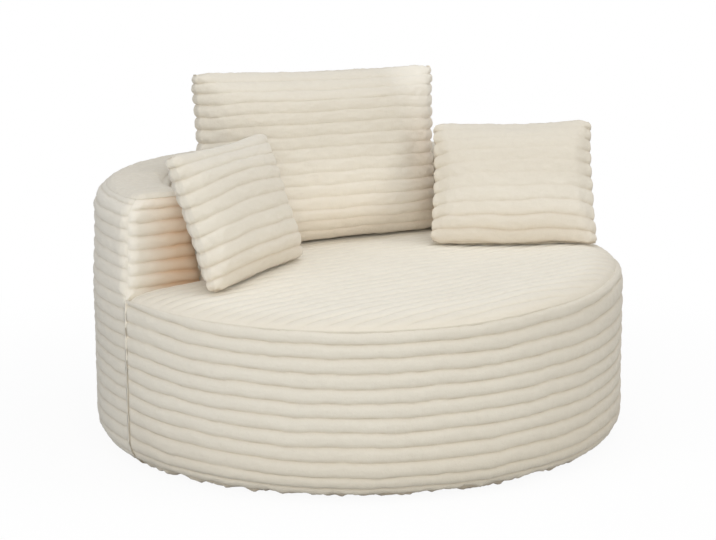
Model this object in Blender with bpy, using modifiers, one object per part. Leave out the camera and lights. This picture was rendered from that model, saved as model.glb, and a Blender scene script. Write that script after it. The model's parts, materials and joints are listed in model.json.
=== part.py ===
# Round upholstered armchair: a drum-shaped base with a crowned seat, a thick back that
# runs round the rear half, one loose back cushion and two loose pillows.
# Metres, +Z up, front towards -Y, origin on the floor under the middle of the drum.

import math

import bpy
from mathutils import Matrix, Vector
from mathutils.bvhtree import BVHTree

# Driving dimensions of the upholstered body
drum_radius = 0.600
seat_height = 0.366
seat_crown = 0.040
back_height = 0.600
back_thickness = 0.180
bottom_rounding = 0.075
outer_shoulder = 0.062
inner_shoulder = 0.050
floor_gap = 0.010
hem_width = 0.070
cover_thickness = 0.012
rib_pitch = 0.030
rib_depth = 0.006
top_seam_angle = math.radians(55)
last_rib_angle = math.radians(70)
clearance = 0.0003
seat_crown_power = 2.2
round_steps = 40
seat_arc_steps = 6
inner_shoulder_turns = 3

# Frame, boards, webbing and padding
board_thickness = 0.018
hoop_thickness = 0.005
deck_height = 0.280
ring_width = 0.160
post_width = 0.045
base_post_inset = 0.055
base_post_count = 6
back_post_width = 0.060
back_post_depth = 0.032
back_post_count = 5
end_post_angle = math.radians(12)
rail_drop = 0.028
inner_foam_depth = 0.047
arm_pad_thickness = 0.033
wadding_thickness = 0.008
web_width = 0.060
web_thickness = 0.0015
web_spacing = 0.140
web_seat = 0.060
web_count = 3
dust_cover_thickness = 0.0011

# Glides and their screws
glide_radius = 0.030
glide_inset = 0.220
glide_soft_edge = 0.003
glide_count = 4
screw_length = 0.030
screw_radius = 0.0022
screw_head_radius = 0.0045
screw_head_height = 0.0025
screw_recess = 0.004
screw_tip = 0.004
screw_hole_end = 0.001
small_steps = 12

# Loose cushions: sizes, ribs and zips, then where each one stands and how it leans.
# Their widths and places are those for a tub of the usual radius, and follow the tub.
usual_tub_radius = 0.420
back_cushion_width = 0.650
back_cushion_height = 0.402
back_cushion_thickness = 0.170
back_cushion_ribs = 15
back_cushion_zip = 0.420
pillow_width = 0.385
pillow_height = 0.290
pillow_thickness = 0.105
pillow_ribs = 11
pillow_zip = 0.240
cushion_columns = 8
filling_ribs = 4
filling_columns = 6
cushion_crown_power = 2.4
cushion_crown_fullness = 0.7
cushion_row_spread = math.radians(70)
cushion_edge = 0.012
filling_edge = 0.003
cushion_wall = 0.016
cushion_gap = 0.0005
side_draw = 0.035
top_draw = 0.012
seat_contact = 0.0004
edge_samples = 10
zip_tape_width = 0.010
zip_tape_thickness = 0.0025
zip_tape_depth = 0.006
slider_length = 0.020
slider_width = 0.0085
slider_end = 0.004
slider_bevel = 0.001

back_cushion_place = (0.037, 0.213)
back_cushion_yaw = math.radians(-1)
back_cushion_lean = math.radians(5)
back_cushion_roll = math.radians(1.5)
left_pillow_place = (-0.329, -0.021)
left_pillow_yaw = math.radians(28.5)
left_pillow_lean = math.radians(19)
left_pillow_roll = math.radians(-2)
right_pillow_place = (0.394, -0.071)
right_pillow_yaw = math.radians(-39)
right_pillow_lean = math.radians(27)
right_pillow_roll = math.radians(-1.5)

# Sizes that follow from the ones above
inner_radius = drum_radius - back_thickness
tub_share = inner_radius / usual_tub_radius
glide_circle = drum_radius - glide_inset
frame_radius = drum_radius - bottom_rounding
board_radius = frame_radius - hoop_thickness - clearance
lining = cover_thickness + clearance
board_bottom = floor_gap + cover_thickness + clearance
board_top = board_bottom + board_thickness
deck_bottom = deck_height - board_thickness
web_top = deck_height + 2 * (clearance + web_thickness)
upper_level = web_top + clearance
inner_foam_back = inner_radius + lining + inner_foam_depth
inner_board_radius = inner_foam_back + clearance + hoop_thickness
rail_top = back_height - rail_drop
pad_back = lining + arm_pad_thickness
straight_up = back_height - outer_shoulder - seat_height
straight_down = seat_height - floor_gap - bottom_rounding
bottom_turn = bottom_rounding * math.pi / 2
shoulder_end = straight_up + outer_shoulder * math.pi / 2
hem_end = -straight_down - bottom_turn - hem_width
arc_turns = 4
quarters = [math.pi / 2 * k / arc_turns for k in range(arc_turns + 1)]
shoulder_stops = [straight_up + outer_shoulder * angle for angle in reversed(quarters)]
bottom_stops = [-straight_down - bottom_rounding * angle for angle in quarters] + [hem_end]
wall_stops = shoulder_stops + bottom_stops
reach = 2 * drum_radius
cut_low = -back_height
cut_high = 2 * back_height
weld_distance = 0.00001


def make_collection(name):
    collection = bpy.data.collections.new(name)
    bpy.context.scene.collection.children.link(collection)
    return collection


def make_material(name, color, roughness, metallic=0.0):
    material = bpy.data.materials.new(name)
    material.use_nodes = True
    shader = material.node_tree.nodes["Principled BSDF"]
    shader.inputs["Base Color"].default_value = (*color, 1.0)
    shader.inputs["Roughness"].default_value = roughness
    shader.inputs["Metallic"].default_value = metallic
    return material


def add_object(name, mesh, material):
    obj = bpy.data.objects.new(name, mesh)
    obj.data.materials.append(material)
    chair.objects.link(obj)
    return obj


def make_cutter(obj):
    for owner in list(obj.users_collection):
        owner.objects.unlink(obj)
    cutters.objects.link(obj)
    obj.hide_render = True
    obj.display_type = "WIRE"
    return obj


def combine(obj, other, operation):
    modifier = obj.modifiers.new(other.name, "BOOLEAN")
    modifier.operation = operation
    modifier.solver = "EXACT"
    modifier.object = other


def turned(name, profile, material, steps=round_steps, closed=True):
    # The profile runs down the outer side and back up the inner side.
    count = len(profile)
    edges = [(i, i + 1) for i in range(count - 1)]
    if closed:
        edges.append((count - 1, 0))
    mesh = bpy.data.meshes.new(name)
    mesh.from_pydata([(r, 0.0, z) for r, z in profile], edges, [])
    obj = add_object(name, mesh, material)
    screw = obj.modifiers.new("Turn", "SCREW")
    screw.axis = "Z"
    screw.angle = 2 * math.pi
    screw.steps = steps
    screw.render_steps = steps
    screw.use_merge_vertices = True
    screw.merge_threshold = weld_distance
    screw.use_smooth_shade = False
    return obj


def block(name, low, high, material):
    bpy.ops.mesh.primitive_cube_add(size=1.0)
    obj = bpy.context.object
    obj.name = name
    obj.data.name = name
    size = [high[i] - low[i] for i in range(3)]
    centre = [(high[i] + low[i]) / 2 for i in range(3)]
    obj.data.transform(Matrix.LocRotScale(Vector(centre), None, Vector(size)))
    obj.data.materials.append(material)
    for owner in list(obj.users_collection):
        owner.objects.unlink(obj)
    chair.objects.link(obj)
    return obj


def plate(name, outline, half_thickness, material):
    # A flat outline in the XY plane with thickness along Z, made a mesh.
    curve = bpy.data.curves.new(name, "CURVE")
    curve.dimensions = "2D"
    curve.fill_mode = "BOTH"
    curve.extrude = half_thickness
    spline = curve.splines.new("POLY")
    spline.points.add(len(outline) - 1)
    for point, (x, y) in zip(spline.points, outline):
        point.co = (x, y, 0.0, 1.0)
    spline.use_cyclic_u = True
    drawn = bpy.data.objects.new(name + "_outline", curve)
    chair.objects.link(drawn)
    bpy.context.view_layer.update()
    depsgraph = bpy.context.evaluated_depsgraph_get()
    mesh = bpy.data.meshes.new_from_object(drawn.evaluated_get(depsgraph))
    bpy.data.objects.remove(drawn)
    obj = add_object(name, mesh, material)
    weld = obj.modifiers.new("Weld", "WELD")
    weld.merge_threshold = weld_distance
    return obj


def wall_point(s, inset):
    # A point of the outer wall's outline, at length s above the seat seam.
    if s > straight_up:
        angle = min((s - straight_up) / outer_shoulder, math.pi / 2)
        bend = outer_shoulder - inset
        r = drum_radius - outer_shoulder + bend * math.cos(angle)
        return r, back_height - outer_shoulder + bend * math.sin(angle)
    if s >= -straight_down:
        return drum_radius - inset, seat_height + s
    angle = (-s - straight_down) / bottom_rounding
    if angle < math.pi / 2:
        bend = bottom_rounding - inset
        r = drum_radius - bottom_rounding + bend * math.cos(angle)
        return r, floor_gap + bottom_rounding - bend * math.sin(angle)
    under = -s - straight_down - bottom_turn
    return drum_radius - bottom_rounding - under, floor_gap + inset


def ribbed_wall(top, bottom):
    # Two points for each rib: grooves lie at whole pitches from the seat seam, and the
    # fabric turned under the bottom is plain.
    half = rib_pitch / 2
    last_rib = -straight_down - bottom_rounding * last_rib_angle
    steps = range(math.ceil(top / half) - 1, math.floor(last_rib / half), -1)
    points = [wall_point(top, rib_depth)]
    for step in steps:
        points.append(wall_point(step * half, rib_depth if step % 2 == 0 else 0.0))
    points.append(wall_point(-straight_down - bottom_turn, 0.0))
    points.append(wall_point(bottom, 0.0))
    return points


def wall_at(s, inset):
    # The wall's outline as straight chords between its stops, so that layers nest.
    for high, low in zip(wall_stops, wall_stops[1:]):
        if high >= s >= low:
            share = (high - s) / (high - low)
            start = wall_point(high, inset)
            end = wall_point(low, inset)
            return tuple(p + (q - p) * share for p, q in zip(start, end))
    return wall_point(s, inset)


def crossing(radius, inset, stops):
    # The length along the wall's chords where they cross a radius.
    for high, low in zip(stops, stops[1:]):
        start = wall_point(high, inset)[0] - radius
        end = wall_point(low, inset)[0] - radius
        if start * end <= 0 and start != end:
            return high + (low - high) * start / (start - end)
    return stops[-1]


def smooth_wall(top, bottom, inset):
    # The outline without ribs, moved in by inset, from top to bottom.
    lengths = [top] + [stop for stop in wall_stops if top > stop > bottom] + [bottom]
    return [wall_at(s, inset) for s in lengths]


def inner_wall(inset):
    # The inner side of the back from the top face down to the deck, moved in by inset.
    bend = inner_shoulder - inset
    points = []
    for k in range(inner_shoulder_turns + 1):
        angle = math.pi / 2 * (1 - k / inner_shoulder_turns)
        r = inner_radius + inner_shoulder - bend * math.cos(angle)
        points.append((r, back_height - inner_shoulder + bend * math.sin(angle)))
    points.append((inner_radius + inset, upper_level))
    return points


def seat_surface(r):
    share = min(r / (drum_radius - clearance), 1.0)
    return seat_height + seat_crown * math.sqrt(1 - share ** seat_crown_power)


def seat_arc(radius, drop):
    # Points of the seat's crown from the middle out to radius, lowered by drop.
    points = []
    for k in range(seat_arc_steps + 1):
        r = radius * math.sin(math.pi / 2 * k / seat_arc_steps)
        points.append((r, seat_surface(r) - drop))
    return points


def on_circle(radius, angle):
    return radius * math.cos(angle), radius * math.sin(angle)


def make_halves():
    # Large blocks that keep the rear half or the front half of a turned piece.
    far = (reach, reach, cut_high)
    rear = block("keep_rear", (-reach, clearance / 2, cut_low), far, fabric)
    front = block("keep_front", (-reach, -reach, cut_low),
                  (reach, -clearance / 2, cut_high), fabric)
    behind_pads = block("keep_behind_pads", (-reach, pad_back + clearance, cut_low), far, fabric)
    return make_cutter(rear), make_cutter(front), make_cutter(behind_pads)


def make_seat_plan():
    # The seat's plan: a half circle in front, and a smaller one between the arms.
    narrow = inner_radius - clearance
    steps = round_steps // 2
    outline = [(-reach, -clearance), (-reach, -reach), (reach, -reach), (reach, -clearance)]
    outline += [on_circle(narrow, math.pi * k / steps) for k in range(steps + 1)]
    outline[4] = (narrow, -clearance)
    outline[-1] = (-narrow, -clearance)
    obj = plate("seat_plan", outline, cut_high, fabric)
    return make_cutter(obj)


def make_screw_cutter(index, x, y):
    low = -clearance
    high = screw_recess + screw_length + screw_hole_end
    bpy.ops.mesh.primitive_cylinder_add(
        vertices=small_steps, radius=screw_radius + clearance, depth=high - low,
        location=(x, y, (high + low) / 2))
    obj = bpy.context.object
    obj.name = f"screw_hole_{index}"
    return make_cutter(obj)


def make_base():
    board = turned("base_board", [
        (0.0, board_top), (board_radius, board_top),
        (board_radius, board_bottom), (0.0, board_bottom)], plywood, closed=False)
    hoop = [(frame_radius, deck_height), (frame_radius, board_bottom),
            (board_radius + clearance, board_bottom), (board_radius + clearance, deck_height)]
    turned("base_hoop", hoop, hardboard)
    turned("seat_ring", [
        (board_radius, deck_height), (board_radius, deck_bottom),
        (board_radius - ring_width, deck_bottom), (board_radius - ring_width, deck_height)], plywood)
    post_circle = board_radius - base_post_inset
    half = post_width / 2
    for index in range(base_post_count):
        angle = 2 * math.pi * (index + 0.5) / base_post_count
        post = block(f"base_post_{index + 1}", (-half, -half, board_top + clearance),
                     (half, half, deck_bottom - clearance), softwood)
        post.location = (*on_circle(post_circle, angle), 0.0)
        post.rotation_euler = (0.0, 0.0, angle)
    dust_top = board_bottom - clearance
    dust_radius = frame_radius - hem_width - clearance
    dust = turned("dust_cover", [
        (0.0, dust_top), (dust_radius, dust_top),
        (dust_radius, dust_top - dust_cover_thickness), (0.0, dust_top - dust_cover_thickness)],
        felt, closed=False)
    return board, dust, dust_top - dust_cover_thickness


def make_glides(board, dust, glide_top):
    top = glide_top - clearance
    hole = screw_radius + clearance
    head = screw_head_radius + clearance
    head_top = screw_recess + screw_head_height
    for index in range(glide_count):
        x, y = on_circle(glide_circle, 2 * math.pi * (index + 0.5) / glide_count)
        glide = turned(f"glide_{index + 1}", [
            (glide_radius, top), (glide_radius, glide_soft_edge),
            (glide_radius - glide_soft_edge, 0.0), (head, 0.0), (head, head_top + clearance),
            (hole, head_top + clearance), (hole, top)], nylon, small_steps)
        glide.location = (x, y, 0.0)
        tip = screw_recess + screw_length
        screw = turned(f"glide_screw_{index + 1}", [
            (0.0, tip), (screw_radius, tip - screw_tip), (screw_radius, head_top),
            (screw_head_radius, head_top), (screw_head_radius, screw_recess), (0.0, screw_recess)],
            steel, small_steps, closed=False)
        screw.location = (x, y, 0.0)
        drill = make_screw_cutter(index + 1, x, y)
        combine(board, drill, "DIFFERENCE")
        combine(dust, drill, "DIFFERENCE")


def make_webbing():
    end = board_radius - web_seat
    middle = (web_count - 1) / 2
    half = web_width / 2
    for index in range(web_count):
        offset = (index - middle) * web_spacing
        length = math.sqrt(end ** 2 - offset ** 2)
        low = deck_height + clearance
        block(f"web_across_{index + 1}", (-length, offset - half, low),
              (length, offset + half, low + web_thickness), webbing)
        low = low + web_thickness + clearance
        block(f"web_along_{index + 1}", (offset - half, -length, low),
              (offset + half, length, low + web_thickness), webbing)


def make_back_frame(behind_pads):
    outer_board = turned("back_outer_board", [
        (frame_radius, rail_top), (frame_radius, deck_height + clearance),
        (board_radius + clearance, deck_height + clearance), (board_radius + clearance, rail_top)],
        hardboard)
    inner_board = turned("back_inner_board", [
        (inner_board_radius, rail_top), (inner_board_radius, deck_height + clearance),
        (inner_board_radius - hoop_thickness, deck_height + clearance),
        (inner_board_radius - hoop_thickness, rail_top)], hardboard)
    rail_bottom = rail_top - board_thickness
    rail = turned("back_rail", [
        (board_radius, rail_top), (board_radius, rail_bottom),
        (inner_board_radius + clearance, rail_bottom), (inner_board_radius + clearance, rail_top)],
        plywood)
    for piece in (outer_board, inner_board, rail):
        combine(piece, behind_pads, "INTERSECT")
    half = back_post_width / 2
    inside = inner_board_radius + clearance
    for index in range(back_post_count):
        spread = math.pi - 2 * end_post_angle
        angle = end_post_angle + spread * index / (back_post_count - 1)
        post = block(f"back_post_{index + 1}", (0.0, -half, deck_height + clearance),
                     (back_post_depth, half, rail_bottom - clearance), softwood)
        post.location = (*on_circle(inside, angle), 0.0)
        post.rotation_euler = (0.0, 0.0, angle)


def make_padding(behind_pads, seat_plan):
    lowest = crossing(frame_radius + clearance, lining, bottom_stops)
    base_top = web_top
    turned("base_foam", smooth_wall(base_top - seat_height, lowest, lining)
           + [(frame_radius + clearance, base_top)], foam)
    wadding_drop = lining + wadding_thickness
    rim = drum_radius - lining
    wadding = turned("seat_wadding", seat_arc(rim, lining) + seat_arc(rim, wadding_drop)[::-1],
                     wool, closed=False)
    seat = turned("seat_foam", seat_arc(rim, wadding_drop + clearance)
                  + [(rim, upper_level), (0.0, upper_level)], foam, closed=False)
    for piece in (wadding, seat):
        combine(piece, seat_plan, "INTERSECT")
    top_face = back_height - lining
    outer_inside = frame_radius + clearance
    outer_start = crossing(outer_inside, lining, shoulder_stops)
    if outer_inside < drum_radius - outer_shoulder:
        outer_start = shoulder_end
    outer_profile = smooth_wall(outer_start, upper_level - seat_height, lining)
    outer_profile.append((outer_inside, upper_level))
    if outer_start == shoulder_end:
        outer_profile.append((outer_inside, top_face))
    outer = turned("back_outer_foam", outer_profile, foam)
    inner = turned("back_inner_foam", [(inner_foam_back, top_face), (inner_foam_back, upper_level)]
                   + inner_wall(lining)[::-1], foam)
    top_inside = inner_foam_back + clearance
    top_profile = [(frame_radius, rail_top + clearance), (top_inside, rail_top + clearance),
                   (top_inside, top_face)]
    if frame_radius > drum_radius - outer_shoulder:
        top_start = crossing(frame_radius, lining, shoulder_stops)
        top_profile += smooth_wall(shoulder_end, top_start, lining)
    else:
        top_profile.append((frame_radius, top_face))
    top = turned("back_top_foam", top_profile, foam)
    for piece in (outer, inner, top):
        combine(piece, behind_pads, "INTERSECT")


def back_section(inset):
    # The whole section of the back inside its covers.
    return smooth_wall(shoulder_end, upper_level - seat_height, inset) + inner_wall(inset)[::-1]


def rib_comb(name, side):
    # Keeps the front layer of an arm's end, with the ribs of its face along X.
    half = rib_pitch / 2
    first = math.floor((upper_level - seat_height) / half) - 1
    last = math.ceil((back_height - seat_height) / half) + 1
    outline = []
    for step in range(first, last + 1):
        outline.append((rib_depth if step % 2 == 0 else 0.0, seat_height + step * half))
    outline.append((cover_thickness, outline[-1][1]))
    outline.append((cover_thickness, outline[0][1]))
    comb = plate(name, outline, drum_radius / 2, fabric)
    # The outline's X becomes the chair's Y, its Y becomes Z and its thickness lies along X.
    middle = side * drum_radius / 2
    comb.data.transform(Matrix(((0, 0, 1, middle), (1, 0, 0, 0), (0, 1, 0, 0), (0, 0, 0, 1))))
    return make_cutter(comb)


def make_arm_ends():
    for name, side in (("left", -1), ("right", 1)):
        cover = turned(f"arm_cover_{name}", back_section(lining), fabric)
        combine(cover, rib_comb(f"rib_comb_{name}", side), "INTERSECT")
        pad = turned(f"arm_pad_{name}", back_section(lining), foam)
        xs = sorted((0.0, side * reach))
        slab = block(f"keep_pad_{name}", (xs[0], lining, cut_low),
                     (xs[1], pad_back, cut_high), fabric)
        combine(pad, make_cutter(slab), "INTERSECT")


def make_covers(rear, front, seat_plan):
    seam = straight_up + outer_shoulder * top_seam_angle
    front_top = -clearance
    front_cover = turned("front_cover", ribbed_wall(front_top, hem_end)
                         + smooth_wall(front_top, hem_end, cover_thickness)[::-1], fabric)
    combine(front_cover, front, "INTERSECT")
    outer_back = turned("outer_back_cover", ribbed_wall(seam, hem_end)
                        + smooth_wall(seam, hem_end, cover_thickness)[::-1], fabric)
    combine(outer_back, rear, "INTERSECT")
    inner_top = inner_wall(0.0)
    inner_under = inner_wall(cover_thickness)
    above = seam + clearance
    top_profile = inner_top[:2][::-1] + smooth_wall(shoulder_end, above, 0.0)
    under_profile = smooth_wall(shoulder_end, above, cover_thickness)[::-1] + inner_under[:2]
    back_top = turned("back_top_cover", top_profile + under_profile, fabric)
    combine(back_top, rear, "INTERSECT")
    inner_face = [(r, z - clearance) for r, z in inner_top[1:-1]] + [inner_top[-1]]
    inner_back_face = [(r, z - clearance) for r, z in inner_under[1:-1]] + [inner_under[-1]]
    inner_back = turned("inner_back_cover", inner_back_face + inner_face[::-1], fabric)
    combine(inner_back, rear, "INTERSECT")
    rim = drum_radius - clearance
    inside = drum_radius - lining
    under = seat_arc(inside, cover_thickness)
    seat_cover = turned("seat_cover", seat_arc(rim, 0.0) + [(inside, seat_height)] + under[::-1],
                        fabric, closed=False)
    combine(seat_cover, seat_plan, "INTERSECT")
    return seat_cover


def crown(share):
    return (1 - abs(share) ** cushion_crown_power) ** cushion_crown_fullness


def cushion_mesh(name, width, height, thickness, edge, ribs, columns, groove):
    # A crowned pad: its front and back are grids that meet along the four edges.
    rows = 2 * ribs
    spread = cushion_row_spread
    verts = []
    for face in (-1, 1):
        for row in range(rows + 1):
            share_w = math.sin(spread * (2 * row / rows - 1)) / math.sin(spread)
            for column in range(columns + 1):
                share_u = math.sin(math.pi / 2 * (2 * column / columns - 1))
                half = edge + (thickness / 2 - edge) * crown(share_u) * crown(share_w)
                if row % 2 == 0 and 0 < row < rows:
                    half -= groove
                drawn = 1 - side_draw * (1 - share_w ** 2) * share_u ** 2
                dip = top_draw * (1 - share_u ** 2) * max(share_w, 0.0) ** 2
                verts.append((share_u * width / 2 * drawn, face * half, share_w * height / 2 - dip))
    across = columns + 1
    back = (rows + 1) * across
    faces = []
    for row in range(rows):
        for column in range(columns):
            a = row * across + column
            faces.append((a, a + 1, a + across + 1, a + across))
            faces.append((back + a + across, back + a + across + 1, back + a + 1, back + a))
    for column in range(columns):
        low = column
        faces.append((low + 1, low, back + low, back + low + 1))
        high = rows * across + column
        faces.append((high, high + 1, back + high + 1, back + high))
    for row in range(rows):
        left = row * across
        faces.append((left, left + across, back + left + across, back + left))
        right = row * across + columns
        faces.append((right + across, right, back + right, back + right + across))
    # Every quad is cut along the same corner, so that a filling nests in its cover.
    corners = [piece for a, b, c, d in faces for piece in ((a, b, c), (a, c, d))]
    mesh = bpy.data.meshes.new(name)
    mesh.from_pydata(verts, [], corners)
    return mesh


def make_cushion(name, width, height, thickness, ribs, zip_length, place, yaw, lean, roll):
    holder = bpy.data.objects.new(name + "_place", None)
    chair.objects.link(holder)
    width *= tub_share
    zip_length *= tub_share
    cover_mesh = cushion_mesh(name + "_cover", width, height, thickness, cushion_edge,
                              ribs, cushion_columns, rib_depth)
    cover = add_object(name + "_cover", cover_mesh, fabric)
    fill_size = [size - 2 * cushion_wall for size in (width, height, thickness)]
    fill_mesh = cushion_mesh(name + "_filling", *fill_size, filling_edge,
                             filling_ribs, filling_columns, 0.0)
    fill = add_object(name + "_filling", fill_mesh, wool)
    room_size = [size + 2 * cushion_gap for size in fill_size]
    room_mesh = cushion_mesh(name + "_room", *room_size, filling_edge + cushion_gap,
                             filling_ribs, filling_columns, 0.0)
    room = add_object(name + "_room", room_mesh, wool)
    bottom = -height / 2
    slit_half = zip_tape_width / 2 + clearance
    slit = block(name + "_slit", (-zip_length / 2, -slit_half, bottom - cushion_wall),
                 (zip_length / 2, slit_half, bottom + cushion_wall + filling_edge), wool)
    combine(cover, make_cutter(room), "DIFFERENCE")
    combine(cover, make_cutter(slit), "DIFFERENCE")
    tape_end = zip_length / 2 - clearance
    tape_low = bottom + zip_tape_depth
    tape = block(name + "_zip", (-tape_end, -zip_tape_width / 2, tape_low),
                 (tape_end, zip_tape_width / 2, tape_low + zip_tape_thickness), nylon)
    start = -zip_length / 2 + slider_end
    slider = block(name + "_zip_slider", (start, -slider_width / 2, bottom + clearance),
                   (start + slider_length, slider_width / 2, tape_low - clearance), steel)
    soften = slider.modifiers.new("Edges", "BEVEL")
    soften.width = slider_bevel
    soften.segments = 1
    for piece in (cover, fill, room, slit, tape, slider):
        piece.parent = holder
    holder.location = (place[0] * tub_share, place[1] * tub_share, seat_height + seat_crown + height)
    holder.rotation_euler = (-lean, roll, yaw)
    return holder, cover


def world_mesh(obj):
    evaluated = obj.evaluated_get(bpy.context.evaluated_depsgraph_get())
    mesh = evaluated.to_mesh()
    points = [obj.matrix_world @ vertex.co for vertex in mesh.vertices]
    faces = [tuple(face.vertices) for face in mesh.polygons]
    samples = list(points)
    for edge in mesh.edges:
        start, end = (points[index] for index in edge.vertices)
        samples += [start.lerp(end, step / edge_samples) for step in range(1, edge_samples)]
    evaluated.to_mesh_clear()
    return samples, BVHTree.FromPolygons(points, faces)


def settle(holder, cover, seat_cover):
    # Lowers a cushion until its lowest place is just clear of the seat.
    bpy.context.view_layer.update()
    cover_points, cover_tree = world_mesh(cover)
    seat_points, seat_tree = world_mesh(seat_cover)
    gaps = []
    for points, tree, way in ((cover_points, seat_tree, -1), (seat_points, cover_tree, 1)):
        for point in points:
            hit = tree.ray_cast(point, Vector((0, 0, way)))
            if hit[0] is not None:
                gaps.append(hit[3])
    holder.location.z -= min(gaps) - seat_contact
    bpy.context.view_layer.update()


for old in list(bpy.data.objects):
    bpy.data.objects.remove(old)

chair = make_collection("round_armchair")
cutters = make_collection("cutters")

fabric = make_material("plush_fabric", (0.77, 0.71, 0.61), 0.95)
wool = make_material("white_wadding", (0.86, 0.86, 0.84), 0.95)
foam = make_material("yellow_foam", (0.80, 0.72, 0.42), 0.90)
plywood = make_material("birch_plywood", (0.60, 0.44, 0.27), 0.60)
softwood = make_material("planed_pine", (0.68, 0.50, 0.30), 0.60)
hardboard = make_material("brown_hardboard", (0.30, 0.19, 0.11), 0.70)
webbing = make_material("elastic_webbing", (0.10, 0.10, 0.11), 0.80)
felt = make_material("black_lining", (0.03, 0.03, 0.03), 0.90)
nylon = make_material("white_nylon", (0.80, 0.80, 0.78), 0.45)
steel = make_material("zinc_steel", (0.62, 0.62, 0.62), 0.35, 1.0)

keep_rear, keep_front, keep_behind_pads = make_halves()
seat_plan_cutter = make_seat_plan()
base_board, dust_cover, dust_bottom = make_base()
make_glides(base_board, dust_cover, dust_bottom)
make_webbing()
make_back_frame(keep_behind_pads)
make_padding(keep_behind_pads, seat_plan_cutter)
make_arm_ends()
seat_cover_piece = make_covers(keep_rear, keep_front, seat_plan_cutter)

cushions = [
    make_cushion("back_cushion", back_cushion_width, back_cushion_height, back_cushion_thickness,
                 back_cushion_ribs, back_cushion_zip, back_cushion_place,
                 back_cushion_yaw, back_cushion_lean, back_cushion_roll),
    make_cushion("left_pillow", pillow_width, pillow_height, pillow_thickness,
                 pillow_ribs, pillow_zip, left_pillow_place,
                 left_pillow_yaw, left_pillow_lean, left_pillow_roll),
    make_cushion("right_pillow", pillow_width, pillow_height, pillow_thickness,
                 pillow_ribs, pillow_zip, right_pillow_place,
                 right_pillow_yaw, right_pillow_lean, right_pillow_roll),
]
for cushion_holder, cushion_cover in cushions:
    settle(cushion_holder, cushion_cover, seat_cover_piece)
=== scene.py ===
import json
import math

import bmesh
import bpy
import numpy as np
from mathutils import Matrix, Vector, noise


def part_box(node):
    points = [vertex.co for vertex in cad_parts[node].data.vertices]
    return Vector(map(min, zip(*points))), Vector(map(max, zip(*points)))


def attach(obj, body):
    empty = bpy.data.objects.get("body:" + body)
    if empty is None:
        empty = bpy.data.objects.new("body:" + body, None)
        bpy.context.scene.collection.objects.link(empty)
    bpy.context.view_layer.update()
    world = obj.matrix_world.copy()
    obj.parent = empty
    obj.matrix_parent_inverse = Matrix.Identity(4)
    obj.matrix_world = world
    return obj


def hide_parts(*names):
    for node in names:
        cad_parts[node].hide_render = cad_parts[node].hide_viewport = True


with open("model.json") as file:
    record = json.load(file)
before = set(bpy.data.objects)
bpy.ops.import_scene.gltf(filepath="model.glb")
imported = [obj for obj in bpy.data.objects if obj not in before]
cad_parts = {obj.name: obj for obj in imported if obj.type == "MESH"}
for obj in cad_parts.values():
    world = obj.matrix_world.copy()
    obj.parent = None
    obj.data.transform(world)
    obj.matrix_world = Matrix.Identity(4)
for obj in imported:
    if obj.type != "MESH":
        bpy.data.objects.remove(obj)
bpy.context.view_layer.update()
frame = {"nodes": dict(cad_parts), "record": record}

scene = bpy.context.scene
scene.view_settings.view_transform = "Standard"


# Materials: a wire is a socket that can be used in sums
class Wire:
    def __init__(self, recipe, socket):
        self.recipe = recipe
        self.socket = socket

    def sum(self, operation, first, second):
        return self.recipe.add("ShaderNodeMath", {"operation": operation}, {0: first, 1: second})

    def __add__(self, other):
        return self.sum("ADD", self, other)

    def __radd__(self, other):
        return self.sum("ADD", other, self)

    def __sub__(self, other):
        return self.sum("SUBTRACT", self, other)

    def __rsub__(self, other):
        return self.sum("SUBTRACT", other, self)

    def __mul__(self, other):
        return self.sum("MULTIPLY", self, other)

    def __rmul__(self, other):
        return self.sum("MULTIPLY", other, self)

    def __pow__(self, other):
        return self.sum("POWER", self, other)


class Recipe:
    def __init__(self, name, holder=None):
        self.holder = holder or bpy.data.materials.new(name)
        self.holder.use_nodes = True
        self.tree = self.holder.node_tree
        self.tree.nodes.clear()

    # Any node, from its kind, its settings and what goes into its sockets
    def add(self, kind, settings=None, inputs=None, output=0):
        node = self.tree.nodes.new(kind)
        for name, value in (settings or {}).items():
            setattr(node, name, value)
        for name, value in (inputs or {}).items():
            if isinstance(value, Wire):
                self.tree.links.new(value.socket, node.inputs[name])
            else:
                node.inputs[name].default_value = value
        return Wire(self, node.outputs[output])

    def place(self):
        return self.add("ShaderNodeTexCoord", output="Object")

    def carried(self, name):
        # A value that the mesh itself carries
        return self.add("ShaderNodeAttribute", {"attribute_name": name}, output="Fac")

    def noise(self, place, scale, detail=2.0, roughness=0.5):
        return self.add("ShaderNodeTexNoise", {}, {
            "Vector": place, "Scale": scale, "Detail": detail, "Roughness": roughness})

    def blend(self, share, first, second):
        # The colour sockets of a Mix node are 6 and 7, and its colour result is output 2
        return self.add("ShaderNodeMix", {"data_type": "RGBA"}, {0: share, 6: first, 7: second}, 2)

    def stretched(self, place, sizes):
        return self.add("ShaderNodeMapping", {}, {"Vector": place, "Scale": sizes})

    def larger(self, first, second):
        return self.add("ShaderNodeMath", {"operation": "MAXIMUM"}, {0: first, 1: second})

    def seen(self):
        # 1 where the camera looks, straight or by way of metal or glass
        camera, glossy, through = (self.add("ShaderNodeLightPath", output="Is %s Ray" % kind)
                                   for kind in ("Camera", "Glossy", "Transmission"))
        return self.larger(camera, self.larger(glossy, through))

    def surface(self, color, roughness, height, strength, distance, more=None):
        # The usual shader, with a fine relief
        bump = self.add("ShaderNodeBump", {}, {
            "Strength": strength, "Distance": distance, "Height": height})
        return self.finish(self.add("ShaderNodeBsdfPrincipled", {}, {
            "Base Color": color, "Roughness": roughness, "Normal": bump, **(more or {})}))

    def finish(self, shader):
        kind = "World" if isinstance(self.holder, bpy.types.World) else "Material"
        output = self.tree.nodes.new("ShaderNodeOutput" + kind)
        self.tree.links.new(shader.socket, output.inputs["Surface"])
        return self.holder


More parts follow.
